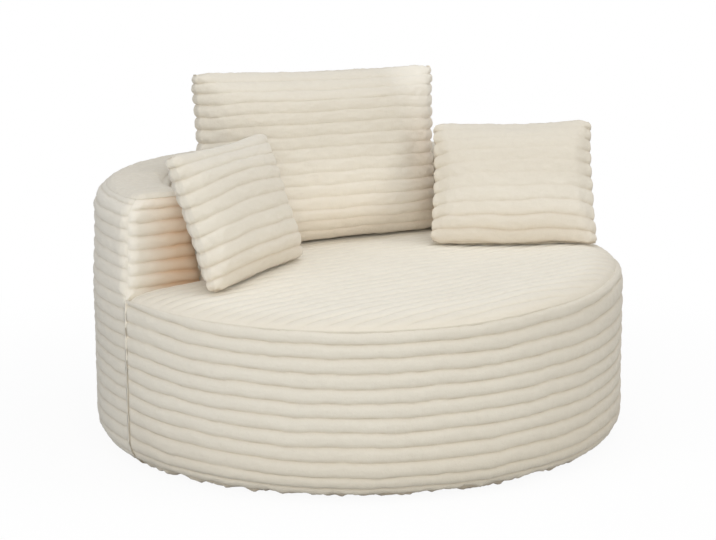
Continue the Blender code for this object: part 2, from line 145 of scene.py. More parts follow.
# Colours of the plush: groove is also painted shade in the grooves, tan is painted warm shade and
# pale is painted light
plush = {
    "crest": (0.815, 0.762, 0.665, 1.0),
    "shade": (0.752, 0.694, 0.592, 1.0),
    "groove": (0.620, 0.535, 0.410, 1.0),
    "shadeTan": (0.700, 0.485, 0.320, 1.0),
    "pale": (0.930, 0.870, 0.765, 1.0),
    "grooveShadeShare": 0.85,
    "speckle": 0.65,
    "roughness": 0.92,
    "sheen": 0.25,
    "furScale": 620.0,
    "clumpScale": 260.0,
    "tuftScale": 110.0,
    "patchScale": 9.0,
    "streakScales": (22.0, 22.0, 160.0),
    "bumpStrength": 0.62,
    "bumpDistance": 0.0026,
}
# The seat's cloth is trodden smoother; its colours are painted paler, as painted light on the seat
seatPlush = {
    **plush, "speckle": 0.3, "bumpStrength": 0.35, "grooveShadeShare": 0.5,
    "crest": (0.865, 0.812, 0.710, 1.0), "shade": (0.800, 0.744, 0.640, 1.0),
}


def makePlush(name, settings):
    recipe = Recipe(name)
    place = recipe.place()
    pile, warmShade, paintedShading = (recipe.carried(key) for key in ("pile", "warmShade", "paintedShading"))
    fur = recipe.noise(place, settings["furScale"], 3.0, 0.65)
    clump = recipe.noise(place, settings["clumpScale"], 3.0, 0.6)
    tuft = recipe.noise(place, settings["tuftScale"], 4.0, 0.6)
    patch = recipe.noise(place, settings["patchScale"], 3.0, 0.55)
    streak = recipe.noise(recipe.stretched(place, settings["streakScales"]), 1.0, 3.0, 0.5)
    speckle = (clump - 0.5) * settings["speckle"] + (fur - 0.5) * settings["speckle"] * 0.6
    shaded = patch * 0.6 + tuft * 0.3 - 0.05 + speckle
    color = recipe.blend(shaded, settings["crest"], settings["shade"])
    # Painted shade in the grooves: the lower the pile, the more of the groove colour is mixed in
    depth = (1.0 - pile) ** 2.0 * settings["grooveShadeShare"]
    depth = depth + (streak - 0.5) * 0.10 + (tuft - 0.5) * 0.10
    color = recipe.blend(depth, color, settings["groove"])
    # Painted light and shade: a value above 0 paints the nap paler, as painted light, and one below
    # 0 paints it darker, as painted shade
    color = recipe.blend(paintedShading * -1.0, color, settings["groove"])
    color = recipe.blend(paintedShading, color, settings["pale"])
    # Painted warm shade: the tan stands in for the warm shade in hollows, strongest in the grooves
    color = recipe.blend(warmShade * (1.35 - pile * 0.6), color, settings["shadeTan"])
    height = fur * 0.25 + clump * 0.4 + tuft * 0.5
    return recipe.surface(
        color, settings["roughness"], height, settings["bumpStrength"], settings["bumpDistance"],
        {"Sheen Weight": settings["sheen"], "Sheen Roughness": 0.5, "Specular IOR Level": 0.15})


def makeGrain(name, pale, dark, sizes, roughness, rings=5.0):
    # Wood: long grain along X, with fine fibres in it
    recipe = Recipe(name)
    place = recipe.stretched(recipe.place(), sizes)
    wave = recipe.noise(place, rings, 4.0, 0.6)
    fibre = recipe.noise(place, rings * 12.0, 3.0, 0.7)
    grain = recipe.add("ShaderNodeMath", {"operation": "FRACT"}, {0: wave * 6.0})
    color = recipe.blend(grain * 0.6 + fibre * 0.4, (*pale, 1.0), (*dark, 1.0))
    return recipe.surface(color, fibre * 0.2 + roughness, fibre, 0.2, 0.0005)


def makeCells(name, pale, dark, scale, roughness, depth=0.001, metallic=0.0):
    # Foam, wadding, felt, board, nylon or metal: a fine irregular grain
    recipe = Recipe(name)
    place = recipe.place()
    coarse = recipe.noise(place, scale * 0.1, 3.0, 0.6)
    fine = recipe.noise(place, scale, 3.0, 0.7)
    color = recipe.blend(coarse * 0.5 + fine * 0.5, (*pale, 1.0), (*dark, 1.0))
    return recipe.surface(color, coarse * 0.15 + roughness, fine, 0.4, depth,
                          {"Metallic": metallic})


def makeWeave(name, pale, dark, scale, roughness):
    # Two crossed sets of threads
    recipe = Recipe(name)
    place = recipe.place()
    along, across = (recipe.add("ShaderNodeTexWave", {"bands_direction": axis}, {
        "Vector": place, "Scale": scale, "Distortion": 0.4}, "Fac") for axis in "XY")
    thread = along * across
    color = recipe.blend(thread, (*dark, 1.0), (*pale, 1.0))
    return recipe.surface(color, roughness, thread, 0.5, 0.0005)


plushCover = makePlush("ribbedPlush", plush)
smoothPlush = makePlush("smoothPlush", seatPlush)
finishes = {
    "plush_fabric": plushCover,
    "white_wadding": makeCells(
        "fluffyWadding", (0.90, 0.90, 0.88), (0.78, 0.78, 0.76), 300.0, 0.9),
    "yellow_foam": makeCells("cutFoam", (0.84, 0.76, 0.46), (0.68, 0.59, 0.31), 900.0, 0.85),
    "birch_plywood": makeGrain(
        "birchPlywood", (0.68, 0.52, 0.33), (0.50, 0.35, 0.20), (1.5, 12.0, 60.0), 0.5),
    "planed_pine": makeGrain(
        "planedPine", (0.76, 0.58, 0.36), (0.58, 0.40, 0.22), (14.0, 14.0, 1.2), 0.5),
    "brown_hardboard": makeCells(
        "brownHardboard", (0.36, 0.24, 0.14), (0.24, 0.15, 0.08), 500.0, 0.6, 0.0003),
    "elastic_webbing": makeWeave(
        "elasticWebbing", (0.16, 0.16, 0.17), (0.05, 0.05, 0.06), 500.0, 0.75),
    "black_lining": makeCells(
        "blackLining", (0.045, 0.045, 0.048), (0.02, 0.02, 0.022), 700.0, 0.85, 0.0005),
    "white_nylon": makeCells(
        "whiteNylon", (0.82, 0.81, 0.78), (0.76, 0.75, 0.71), 200.0, 0.4, 0.0002),
    "zinc_steel": makeCells(
        "zincSteel", (0.68, 0.68, 0.67), (0.52, 0.53, 0.54), 400.0, 0.3, 0.0001, 1.0),
}
for part in frame["record"]["subparts"]:
    node = frame["nodes"][part["node"]]
    node.data.materials.clear()
    node.data.materials.append(finishes[part["material_slot"]])
print("materials made")


# The chair's own shape, in metres
chair = {
    "radius": 0.600,
    "seatHeight": 0.366,
    "seatCrown": 0.040,
    "crownPower": 2.2,
    "backHeight": 0.596,
    "innerRadius": 0.420,
    "bottomTurn": 0.072,
    "bottomSquareness": 0.88,
    "outerShoulder": 0.066,
    "innerShoulder": 0.050,
    "endShoulder": 0.034,
    "cornerRadius": 0.030,
    "taper": 0.007,
    "floorGap": 0.004,
    "hem": 0.070,
    "ribPitch": 0.030,
    "seamAngle": math.radians(55),
    "rimRadius": 0.022,
    "leftRise": 0.009,
    "rimSwell": 0.006,
    "rightSwell": 0.012,
    "coverThickness": 0.005,
    "seamFold": 0.009,
}
straightUp = chair["backHeight"] - chair["outerShoulder"] - chair["seatHeight"]
straightDown = chair["seatHeight"] - chair["floorGap"] - chair["bottomTurn"]
bottomEnd = -straightDown - chair["bottomTurn"] * math.pi / 2
topSeam = straightUp + chair["outerShoulder"] * chair["seamAngle"]


def smooth(value, low, high):
    share = np.clip((value - low) / (high - low), 0.0, 1.0)
    return share * share * (3 - 2 * share)


def near(distance, width):
    # 1 at a place, fading away over a width
    return np.exp(-(distance / width) ** 2)


def wallPoint(s):
    # Radius and height of the outer wall at length s above the seat seam
    if s > straightUp:
        angle = (s - straightUp) / chair["outerShoulder"]
        r = chair["radius"] - chair["outerShoulder"] * (1 - math.cos(angle))
        return r, chair["backHeight"] - chair["outerShoulder"] * (1 - math.sin(angle))
    if s >= -straightDown:
        return chair["radius"], chair["seatHeight"] + s
    angle = (-s - straightDown) / chair["bottomTurn"]
    if angle < math.pi / 2:
        square = chair["bottomSquareness"]
        r = chair["radius"] - chair["bottomTurn"] * (1 - math.cos(angle) ** square)
        return r, chair["floorGap"] + chair["bottomTurn"] * (1 - math.sin(angle) ** square)
    return chair["radius"] - chair["bottomTurn"] + s - bottomEnd, chair["floorGap"]


# Where the seat's seam runs: degrees round the drum, and how far the band reaches up over the rim
seamCourse = (
    (-180, 0.0), (-150, -0.003), (-125, -0.006), (-105, -0.003), (-97, 0.0), (-90, 0.0055),
    (-80, 0.0115), (-70, 0.0150), (-60, 0.0220), (-51, 0.0290), (-42, 0.0290), (-22, 0.0170),
    (-4, 0.0090), (5, 0.0090), (60, 0.0), (180, 0.0),
)


def seamReach(angle):
    angle = np.degrees(np.arctan2(np.sin(angle), np.cos(angle)))
    steps = (-4.0, -2.0, 0.0, 2.0, 4.0)
    around = [np.interp(angle + step, *zip(*seamCourse)) for step in steps]
    return sum(around) / len(steps) + chair["leftRise"] * near(180 - np.abs(angle), 18.0)


def rimPoint(reach):
    # How far in and how high the band has come at a length above the level of the seat's rim
    turn = np.maximum(reach, 0.0) / chair["rimRadius"]
    rise = chair["rimRadius"] * np.sin(turn) + np.minimum(reach, 0.0)
    return chair["rimRadius"] * (1 - np.cos(turn)), rise


def crowned(share):
    # Height of the plain crown of the seat at a share of its radius
    return chair["seatHeight"] + chair["seatCrown"] * np.sqrt(1 - share ** chair["crownPower"])


def seatLevel(x, y):
    # The crown swells before it rolls over to its seam
    r = np.hypot(x, y)
    angle = np.arctan2(y, x)
    inset, rise = rimPoint(seamReach(angle))
    r = r + inset * smooth(r, 0.50, chair["radius"] - inset)
    right = chair["rightSwell"] - 0.9 * np.maximum(rise - chair["leftRise"], 0.0)
    right = near(angle + math.radians(12), math.radians(38)) * np.clip(right, 0.002, 1.0)
    swell = chair["rimSwell"] * np.maximum(-np.sin(angle), 0) + right
    swell = swell * smooth(r, 0.38, 0.53) * np.sqrt(np.clip((0.6002 - r) / 0.06, 0.0, 1.0))
    level = crowned(np.minimum(r / chair["radius"], 1.0))
    return level + rise * smooth(r, 0.25, 0.60) + swell


def ribHeight(phase):
    # 0 in a groove and 1 along a crest
    across = np.abs(2 * (phase - np.floor(phase)) - 1)
    return (1 - across ** 2.4) ** 0.66


def rough(points, *layers):
    # Layers of noise, each with its scale, its seed and its height
    total = 0.0
    for scale, seed, height in layers:
        flat = np.asarray(points, float).reshape(-1, 3) * scale + seed
        found = np.array([noise.noise(Vector(point)) for point in flat])
        total = total + found.reshape(np.shape(points)[:-1]) * height
    return total


ribSteps = (0.0, 0.06, 0.16, 0.3, 0.5, 0.7, 0.84, 0.94)


def ribStops(top, bottom, offset=0.0, pitch=chair["ribPitch"]):
    # Lengths from top down to bottom, close together in the grooves
    first = math.ceil((top - offset) / pitch) + 1
    last = math.floor((bottom - offset) / pitch) - 2
    lengths = [offset + pitch * (rib - step) for rib in range(first, last, -1) for step in ribSteps]
    return [top] + [s for s in lengths if top - 0.0008 > s > bottom + 0.0008] + [bottom]


def inRows(lengths, count):
    return np.array(lengths)[:, None] * np.ones((1, count))


def normalsOf(points, turn):
    down = np.gradient(points, axis=0)
    along = np.gradient(points, axis=1)
    found = np.cross(along, down) * turn
    return found / np.maximum(np.linalg.norm(found, axis=2, keepdims=True), 1e-9)


def makeGrid(points, layers, keep=None):
    # A grid bent to rows of points, with the values of each layer
    rows, columns = points.shape[0] - 1, points.shape[1] - 1
    bm = bmesh.new()
    bmesh.ops.create_grid(bm, x_segments=columns, y_segments=rows, size=0.5)
    held = [(bm.verts.layers.float.new(key), value) for key, value in layers.items()]
    dropped = []
    for vert in bm.verts:
        i = round((vert.co.y + 0.5) * rows)
        j = round((vert.co.x + 0.5) * columns)
        if keep is not None and not keep[i, j]:
            dropped.append(vert)
        vert.co = points[i, j]
        for layer, value in held:
            vert[layer] = value[i, j]
    bmesh.ops.delete(bm, geom=dropped, context="VERTS")
    return bm


def makePiece(name, bm, material=None, soft=True, crease=None):
    # The finished mesh and its object; crease is the angle above which an edge stays sharp
    mesh = bpy.data.meshes.new(name)
    bm.to_mesh(mesh)
    bm.free()
    if soft:
        mesh.shade_smooth()
    if crease:
        mesh.set_sharp_from_angle(angle=crease)
    if material:
        mesh.materials.append(material)
    piece = bpy.data.objects.new(name, mesh)
    scene.collection.objects.link(piece)
    return piece


def thicken(piece, thickness):
    wall = piece.modifiers.new("Thickness", "SOLIDIFY")
    wall.thickness = thickness
    wall.offset = -1.0


def settle(piece, nodes, body="chair"):
    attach(piece, body)
    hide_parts(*nodes)


def withFold(layer, axis, side, share=1.0, shift=0.0):
    # A narrow strip beside the edge, so that the fold stays crisp, and the fold beyond it
    edge, beside, at = (0, 1, 1) if side == "first" else (-1, -2, -1)
    last = np.take(layer, [edge], axis=axis)
    narrow = last * 0.9 + np.take(layer, [beside], axis=axis) * 0.1
    before, after = np.split(layer, [at], axis)
    parts = [before, narrow, after]
    fold = [last * share + shift]
    return np.concatenate(fold + parts if side == "first" else parts + fold, axis)


usualSides = ((0, "first"), (1, "first"), (1, "last"))


def makeSheet(name, points, pile, turn, normal, warmShade=0.0, paintedShading=0.0, sides=usualSides):
    # Cloth turned in at its seams, so that no gap shows between two pieces
    layers = {"pile": pile, "warmShade": warmShade + 0 * pile, "paintedShading": paintedShading + 0 * pile}
    inward = normal * -chair["seamFold"]
    for axis, side in sides:
        points = withFold(points, axis, side, shift=np.take(
            inward, [0 if side == "first" else -1], axis=axis))
        inward = withFold(inward, axis, side)
        # The fold keeps 0.8 of each value, so its lower pile paints it a little darker, as painted
        # shade in the fold
        layers = {key: withFold(value, axis, side, 0.8) for key, value in layers.items()}
    points[..., 2] = np.maximum(points[..., 2], 0.001)
    bm = makeGrid(points, layers)
    if turn < 0:
        bmesh.ops.reverse_faces(bm, faces=bm.faces[:])
    piece = makePiece(name, bm, plushCover)
    thicken(piece, chair["coverThickness"])
    return piece


def fromEnds(points):
    # Distance along each row to its nearer end
    steps = np.linalg.norm(np.diff(points, axis=1), axis=2)
    along = np.concatenate([np.zeros((len(points), 1)), np.cumsum(steps, axis=1)], axis=1)
    return np.minimum(along, along[:, -1:] - along)


# The ribbed cloth; noise is given as scale, seed and amount
cloth = {
    "wander": ((7.0, 3.0, 0.10), (18.0, 11.0, 0.08), (45.0, 17.0, 0.04)),
    "lumps": ((55.0, 23.0, 0.0015), (120.0, 41.0, 0.000825)),
    "swell": (9.0, 5.0, 0.0016),
    "seamPile": 0.66,
    "endWidth": 0.0040,
    "topWidth": 0.006,
}


def dress(points, s, turn, depth, pitch=chair["ribPitch"], top=9.0, lapped=0.0):
    # Ribs, small lumps in the pile and a wander of the grooves, on a bare surface
    pile = ribHeight(s / pitch + rough(points, *cloth["wander"]))
    beside = np.maximum(fromEnds(points) - lapped, 0.0)
    atSeam = np.maximum(near(beside, cloth["endWidth"]), 0.8 * near(top - s, cloth["topWidth"]))
    pile = pile + (cloth["seamPile"] - pile) * atSeam
    lump = rough(points, *cloth["lumps"])
    lift = depth * (pile - 1) + lump * (0.3 + 0.7 * pile) + rough(points, cloth["swell"])
    normal = normalsOf(points, turn)
    return points + normal * lift[..., None], pile, normal


# The lowest ribs, where the cloth is drawn under the edge, and how strong their painted shade is
hem = {"gather": 0.0115, "shade": 0.34,
       "folds": ((26.0, 61.0, 0.45), (60.0, 77.0, 0.45), (105.0, 91.0, 0.25))}


def hemFolds(points, s):
    # The cloth bunches up, less so at the right and behind
    low = smooth(-s, 0.335, 0.375) * (1 - 0.7 * smooth(-s, 0.40, 0.44))
    calm = 0.55 * smooth(points[..., 0], -0.1, 0.35) + 0.35 * smooth(points[..., 1], -0.1, 0.3)
    folds = rough(points * np.array([1.0, 1.0, 0.35]), *hem["folds"])
    return folds * hem["gather"] * low * np.maximum(1 - calm, 0.3)


def hemShade(s):
    # Painted shade: the cloth is painted browner where it goes under the chair
    return hem["shade"] * smooth(-s, 0.345, 0.40)


def hemPile(pile, s):
    # Painted shade: the lowest edge, going under the chair, takes more of the groove colour
    return pile * (1 - smooth(-s, 0.39, 0.41) * 0.5)


# The ribbed band round the front half of the drum
frontBand = {
    "columns": 330,
    "pitch": 0.0310,
    "ribDepth": 0.0072,
    "lap": 0.0027,
    "lapLift": 0.0007,
    "lapDive": 0.0009,
    "knee": 0.0012,
    "roll": 0.0022,
    # How dark the painted shade along the seam's crease is
    "crease": 0.7,
    "leftDraw": 0.046,
    "rightDraw": 0.019,
    "drawnFrom": math.radians(-124.5),
    # Painted shade low down and at the right of the band
    "paintedLowShade": -0.22,
    "paintedRightShade": -0.14,
}


def makeFrontBand(settings):
    lengths = ribStops(0.0, bottomEnd, 0.0, settings["pitch"])
    lengths += [bottomEnd - 0.03, bottomEnd - chair["hem"]]
    ends = np.array([-settings["lap"], 0.0, 0.0012, 0.0026, 0.0045, 0.0075]) / chair["radius"]
    middle = np.linspace(-math.pi + 0.02, -0.02, settings["columns"] - 10)
    angles = np.concatenate([ends - math.pi, middle, -ends[::-1]])
    s = inRows(lengths, len(angles))
    # The ribs are drawn up towards both ends of the band, and the seam cuts off what would pass it
    turn = angles - settings["drawnFrom"]
    draw = np.where(turn < 0, settings["leftDraw"], settings["rightDraw"])
    drawn = (1 - np.abs(np.cos(turn))) * draw
    drawn = np.where(turn < math.pi / 2, drawn, settings["rightDraw"])
    reach = seamReach(angles)
    over = np.maximum(reach, 0.0)
    lifted = s + drawn * (1 - smooth(-s, -bottomEnd, 0.02 - bottomEnd))
    lifted = lifted + 0.9 * over * smooth(s, -0.10, 0.0)
    under = lifted - over
    knee, highest = settings["knee"], np.maximum(under[:1], 0.0)
    cut = np.where(under > -knee, (under + knee) * knee / (highest + knee) - knee, under)
    place = cut + over
    wall = np.array([[wallPoint(value) for value in row] for row in np.minimum(place, 0.0)])
    inset, rise = rimPoint(np.maximum(place, 0.0))
    radius = wall[..., 0] - inset
    height = wall[..., 1] + rise + np.minimum(reach, 0.0) * smooth(place, -0.06, 0.0)
    points = np.stack([radius * np.cos(angles), radius * np.sin(angles), height], -1)
    depth = settings["ribDepth"] * smooth(place, bottomEnd - 0.01, bottomEnd + 0.03)
    depth = depth * (1 - 0.25 * smooth(angles, -1.5, -0.9))
    depth = depth * (1 - 0.6 * (1 - smooth(-cut, 0.0, 0.005)))
    phase = s - (under - cut) / 1.1
    dressed, pile, normal = dress(points, phase, -1, depth, settings["pitch"],
                                  lapped=settings["lap"])
    # Both ends lie over the outer back band
    edge = np.minimum(angles + math.pi, -angles)[None, :] * chair["radius"]
    outward = settings["lapLift"] * (1 - smooth(edge, -settings["lap"], 0.0))
    outward = outward + hemFolds(points, place) - settings["roll"] * near(cut, 0.0042)
    dressed = dressed + normal * outward[..., None]
    pile = pile + (0.85 - pile) * 0.6 * near(edge, 0.004)
    # Painted shade: a faint dark line along the crease under the seam
    crease = near(cut, 0.0024) * np.clip(0.65 + rough(points, (22.0, 31.0, 1.2)), 0.1, 1.0)
    pile = hemPile(pile, place) * (1 - settings["crease"] * crease)
    # Painted shade: darker low down and towards the right
    paintedShading = settings["paintedLowShade"] * smooth(-place, 0.18, 0.34)
    paintedShading = paintedShading + settings["paintedRightShade"] * smooth(angles, -1.6, -0.9)
    piece = makeSheet("frontBand", dressed, pile, -1, normal, hemShade(place), paintedShading)
    settle(piece, ["front_cover"])


# The back: outlines at one height, from which its ribbed covers are laid up
back = {
    "outerColumns": 246,
    "innerColumns": 170,
    "cornerColumns": 8,
    "armColumns": 24,
    "outerDepth": 0.0048,
    "ribDepth": 0.0072,
    "pitch": 0.0286,
    "outerShift": -0.0150,
    "phaseShift": 0.0268,
    "innerBottom": -0.022,
    "lip": 0.0012,
    "corner": 0.0008,
    "bulge": 0.004,
    "flare": 0.017,
    # Painted warm shade, and painted light on the arms and on the side
    "warmShadeAmount": 1.0,
    "paintedArmLight": 0.6,
    "paintedSideLight": 0.4,
}


def backLevels(z, inset=0.0):
    # Outer radius, inner radius, end plane and corner radius at a height
    def shoulder(radius):
        rise = min(max((z - chair["backHeight"] + radius) / (radius - inset), 0.0), 1.0)
        return (radius - inset) * (1 - math.sqrt(1 - rise * rise)) + inset
    opened = float(smooth(z, chair["seatHeight"], chair["seatHeight"] + 0.03))
    taper = chair["taper"] * float(smooth(z, 0.34, 0.52))
    outer = chair["radius"] - taper - shoulder(chair["outerShoulder"])
    inner = chair["innerRadius"] + shoulder(chair["innerShoulder"])
    end = shoulder(chair["endShoulder"]) - back["lip"] * (1 - opened)
    return outer, inner, end, back["corner"] + (chair["cornerRadius"] - inset / 2) * opened


def arcPoints(centre, radius, start, end, count):
    turn = np.linspace(start, end, count + 1)
    return np.stack([centre[0] + radius * np.cos(turn), centre[1] + radius * np.sin(turn)], -1)


def cornersAt(outer, inner, end, corner):
    # Centres of the right arm's two rounded corners, and the angles where they meet the arcs
    y = end + corner
    outside = np.array([math.sqrt((outer - corner) ** 2 - y * y), y])
    inside = np.array([math.sqrt((inner + corner) ** 2 - y * y), y])
    return outside, math.atan2(outside[1], outside[0]), inside, math.atan2(inside[1], inside[0])


def cornered(rounding, arc):
    # An arc between one rounded corner and its mirror image
    return np.concatenate([rounding[:-1], arc, rounding[-2::-1] * np.array([-1, 1])])


def outerLine(outer, inner, end, corner, columns=0):
    centre, angle, _, _ = cornersAt(outer, inner, end, corner)
    middle = (angle - math.pi / 2) / 2
    rounding = arcPoints(centre, corner, middle, angle, back["cornerColumns"])
    count = columns or back["outerColumns"]
    arc = arcPoints((0, 0), outer, angle, math.pi - angle, count)
    if not columns:
        # More columns beside the seams with the front band
        beside = arcPoints((0, 0), outer, angle + 0.0022, angle + 0.0088, 3)
        mirrored = beside[::-1] * np.array([-1, 1])
        arc = np.concatenate([arc[:1], beside, arc[1:-1], mirrored, arc[-1:]])
    return cornered(rounding, arc)


def armLine(outer, inner, end, corner):
    outside, angle, inside, innerAngle = cornersAt(outer, inner, end, corner)
    start, stop = (angle - math.pi / 2) / 2, (-math.pi / 2 - math.pi + innerAngle) / 2
    first = arcPoints(outside, corner, start, -math.pi / 2, back["cornerColumns"])
    last = arcPoints(inside, corner, -math.pi / 2, stop, back["cornerColumns"])
    share = np.linspace(0, 1, back["armColumns"] + 1)[1:-1, None]
    return np.concatenate([first, first[-1] * (1 - share) + last[0] * share, last])


def innerLine(outer, inner, end, corner, columns=0):
    _, _, centre, angle = cornersAt(outer, inner, end, corner)
    start = (-math.pi / 2 - math.pi + angle) / 2
    rounding = arcPoints(centre, corner, start, -math.pi + angle, back["cornerColumns"])
    count = columns or back["innerColumns"]
    return cornered(rounding, arcPoints((0, 0), inner, angle, math.pi - angle, count))


def layUp(lengths, line, mirror=1):
    # One row of points for each length up the wall
    rows = []
    for s in lengths:
        radius, z = wallPoint(s)
        outer, inner, end, corner = backLevels(z)
        if s < -0.1:
            outer, end = radius, -back["lip"]
        plan = line(outer, inner, end, corner)
        rows.append(np.column_stack([plan[:, 0] * mirror, plan[:, 1], np.full(len(plan), z)]))
    points = np.array(rows)
    return points, inRows(lengths, points.shape[1])


def flared(points):
    # The arm's inner corner spreads where it comes down on the seat
    x, y, z = points[..., 0], points[..., 1], points[..., 2]
    r = np.hypot(x, y)
    amount = back["flare"] * (1 - smooth(r, 0.43, 0.52))
    amount = amount * (1 - smooth(z, 0.40, 0.51)) * (1 - smooth(y, 0.03, 0.10))
    return points - np.stack([x / r, y / r, 0 * z], -1) * amount[..., None]


def finer(s):
    # The ribs grow shallow up on the shoulder
    return 1 - 0.45 * smooth(s, 0.19, 0.225)


def topDip(s):
    return 0.001 * near(topSeam - s, 0.005)


def makeOuterBack(settings):
    shift = settings["outerShift"]
    lengths = ribStops(topSeam, bottomEnd, shift, settings["pitch"])
    points, s = layUp(lengths + [bottomEnd - 0.02, bottomEnd - chair["hem"]], outerLine)
    depth = settings["outerDepth"] * smooth(s, bottomEnd - 0.01, bottomEnd + 0.03) * finer(s)
    depth = depth + (settings["ribDepth"] - depth) * near(fromEnds(points), 0.01)
    below = 1 - smooth(s, -0.005, 0.01)
    dressed, pile, normal = dress(points, s - shift, -1, depth, settings["pitch"],
                                  topSeam - shift, settings["lip"] * below)
    # Below the seat it lies under the ends of the front band
    radial = points * np.array([1.0, 1.0, 0.0])
    radial = radial / np.linalg.norm(radial, axis=2, keepdims=True)
    normal = normal * (1 - below[..., None]) + radial * below[..., None]
    dive = frontBand["lapDive"] * (1 - smooth(points[..., 1], 0.0, frontBand["lap"])) * below
    outward = hemFolds(points, s) - topDip(s) - dive
    dressed = dressed + normal * outward[..., None]
    pile = hemPile(pile + (0.85 - pile) * 0.6 * near(fromEnds(points), 0.004) * below, s)
    # Painted light: the side just above the seat is painted paler
    paintedShading = settings["paintedSideLight"] * smooth(s, -0.08, 0.06) * (1 - smooth(s, 0.18, 0.24))
    piece = makeSheet("outerBackBand", dressed, pile, -1, normal, hemShade(s), paintedShading)
    settle(piece, ["outer_back_cover"])


def layInside(line, settings, mirror=1):
    lengths = ribStops(topSeam, settings["innerBottom"], settings["phaseShift"], settings["pitch"])
    points, s = layUp(lengths, line, mirror)
    return flared(points), s


def coverInside(name, node, points, s, turn, settings, warmShade, paintedShading):
    shift = settings["phaseShift"]
    depth = settings["ribDepth"] * finer(s)
    dressed, pile, normal = dress(points, s - shift, turn, depth, settings["pitch"],
                                  topSeam - shift)
    dressed = dressed - normal * topDip(s)[..., None]
    settle(makeSheet(name, dressed, pile, turn, normal, warmShade, paintedShading), [node])


def makeArmEnd(name, node, mirror, settings):
    points, s = layInside(armLine, settings, mirror)
    bulge = settings["bulge"] * (1 - smooth(points[..., 1], 0.0, 0.012))
    bulge = bulge * smooth(s, 0.0, 0.06) * (1 - smooth(s, 0.15, 0.23))
    points = points - np.array([0.0, 1.0, 0.0]) * bulge[..., None]
    # The cloth is painted tan, as painted warm shade, where it lies far in between the arm and its
    # pillow; the arm end is painted paler as painted light
    warmShade = settings["warmShadeAmount"] * smooth(np.abs(points[..., 0]), 0.585, 0.45)
    warmShade = warmShade * (1 - 0.45 * smooth(s, 0.08, 0.23))
    paintedShading = settings["paintedArmLight"] - 0.2 * warmShade
    coverInside(name, node, points, s, mirror, settings, warmShade, paintedShading)


def makeLining(settings):
    points, s = layInside(innerLine, settings)
    # Painted warm shade towards the front ends of the lining
    warmShade = 0.6 * settings["warmShadeAmount"] * (1 - smooth(points[..., 1], 0.02, 0.14))
    coverInside("innerBackLining", "inner_back_cover", points, s, 1, settings, warmShade, 0.0)


# The plain-looking strip on top of the back, with fine ribs along X, painted a little darker as
# painted shade
backTop = {"columns": 300, "ribDepth": 0.0035, "paintedShading": -0.2}


def shoulderRise(distance, radius, width):
    # How far a shoulder has risen at a distance in from the top seam
    rest = np.clip(width - distance, 0.0, width)
    return np.sqrt(radius ** 2 - rest ** 2) - math.sqrt(radius ** 2 - width ** 2)


def makeBackTop(settings):
    height = wallPoint(topSeam)[1]
    outer, inner, end, corner = backLevels(height)
    # Points between the four lines round the strip
    far = outerLine(outer, inner, end, corner, settings["columns"])
    close = innerLine(outer, inner, end, corner, settings["columns"])
    right = armLine(outer, inner, end, corner)[::-1]
    left = right * np.array([-1, 1])
    v = np.linspace(0, 1, len(right))[:, None, None]
    u = np.linspace(0, 1, len(close))[None, :, None]
    corners = (1 - v) * ((1 - u) * close[0] + u * close[-1]) + v * ((1 - u) * far[0] + u * far[-1])
    plan = (1 - v) * close + v * far + (1 - u) * right[:, None] + u * left[:, None] - corners
    r = np.hypot(plan[..., 0], plan[..., 1])
    front = plan[..., 1] - end
    full = chair["backHeight"] - height
    rise = np.full(r.shape, full)
    rim = np.full(r.shape, 1.0)
    for side, radius in ((outer - r, chair["outerShoulder"]), (r - inner, chair["innerShoulder"])):
        fromSide, fromFront = np.maximum(corner - side, 0), np.maximum(corner - front, 0)
        distance = np.maximum(corner - np.hypot(fromSide, fromFront), 0.0)
        share = fromSide ** 2 / np.maximum(fromSide ** 2 + fromFront ** 2, 1e-9)
        wide, narrow = (shoulderRise(distance, turn, math.sqrt(turn ** 2 - (turn - full) ** 2))
                        for turn in (radius, chair["endShoulder"]))
        rise = np.minimum(rise, wide * share + narrow * (1 - share))
        rim = np.minimum(rim, distance)
    points = np.concatenate([plan, (height + rise)[..., None]], -1)
    inside = smooth(rim, 0.0, 0.02)
    dressed, pile, normal = dress(points, points[..., 1], -1, settings["ribDepth"] * inside)
    dressed = dressed - normal * (0.001 * near(rim, 0.005))[..., None]
    pile = 1 - (1 - pile) * 0.5 * inside
    piece = makeSheet("backTopStrip", dressed, pile, -1, normal, 0.0, settings["paintedShading"],
                      ((0, "first"), (0, "last"), (1, "first"), (1, "last")))
    settle(piece, ["back_top_cover"])


# The seat: a crowned panel with ribs along X, tucked in along the arms and the back
seat = {
    "columns": 40,
    "wideColumns": 16,
    "rimDegrees": (1.5, 3, 4.5, 6, 8, 10),
    "ribDepth": 0.0040,
    "tuck": 0.014,
    "tuckWidth": 0.024,
    "wander": ((7.0, 3.0, 0.12), (18.0, 11.0, 0.12)),
    "lumps": ((55.0, 23.0, 0.001), (120.0, 41.0, 0.0006)),
    "swell": (6.0, 5.0, 0.003),
    "paintedRimShade": -0.26,
    "rimFolds": ((0.0005, 0.005), (0.009, 0.002)),
}


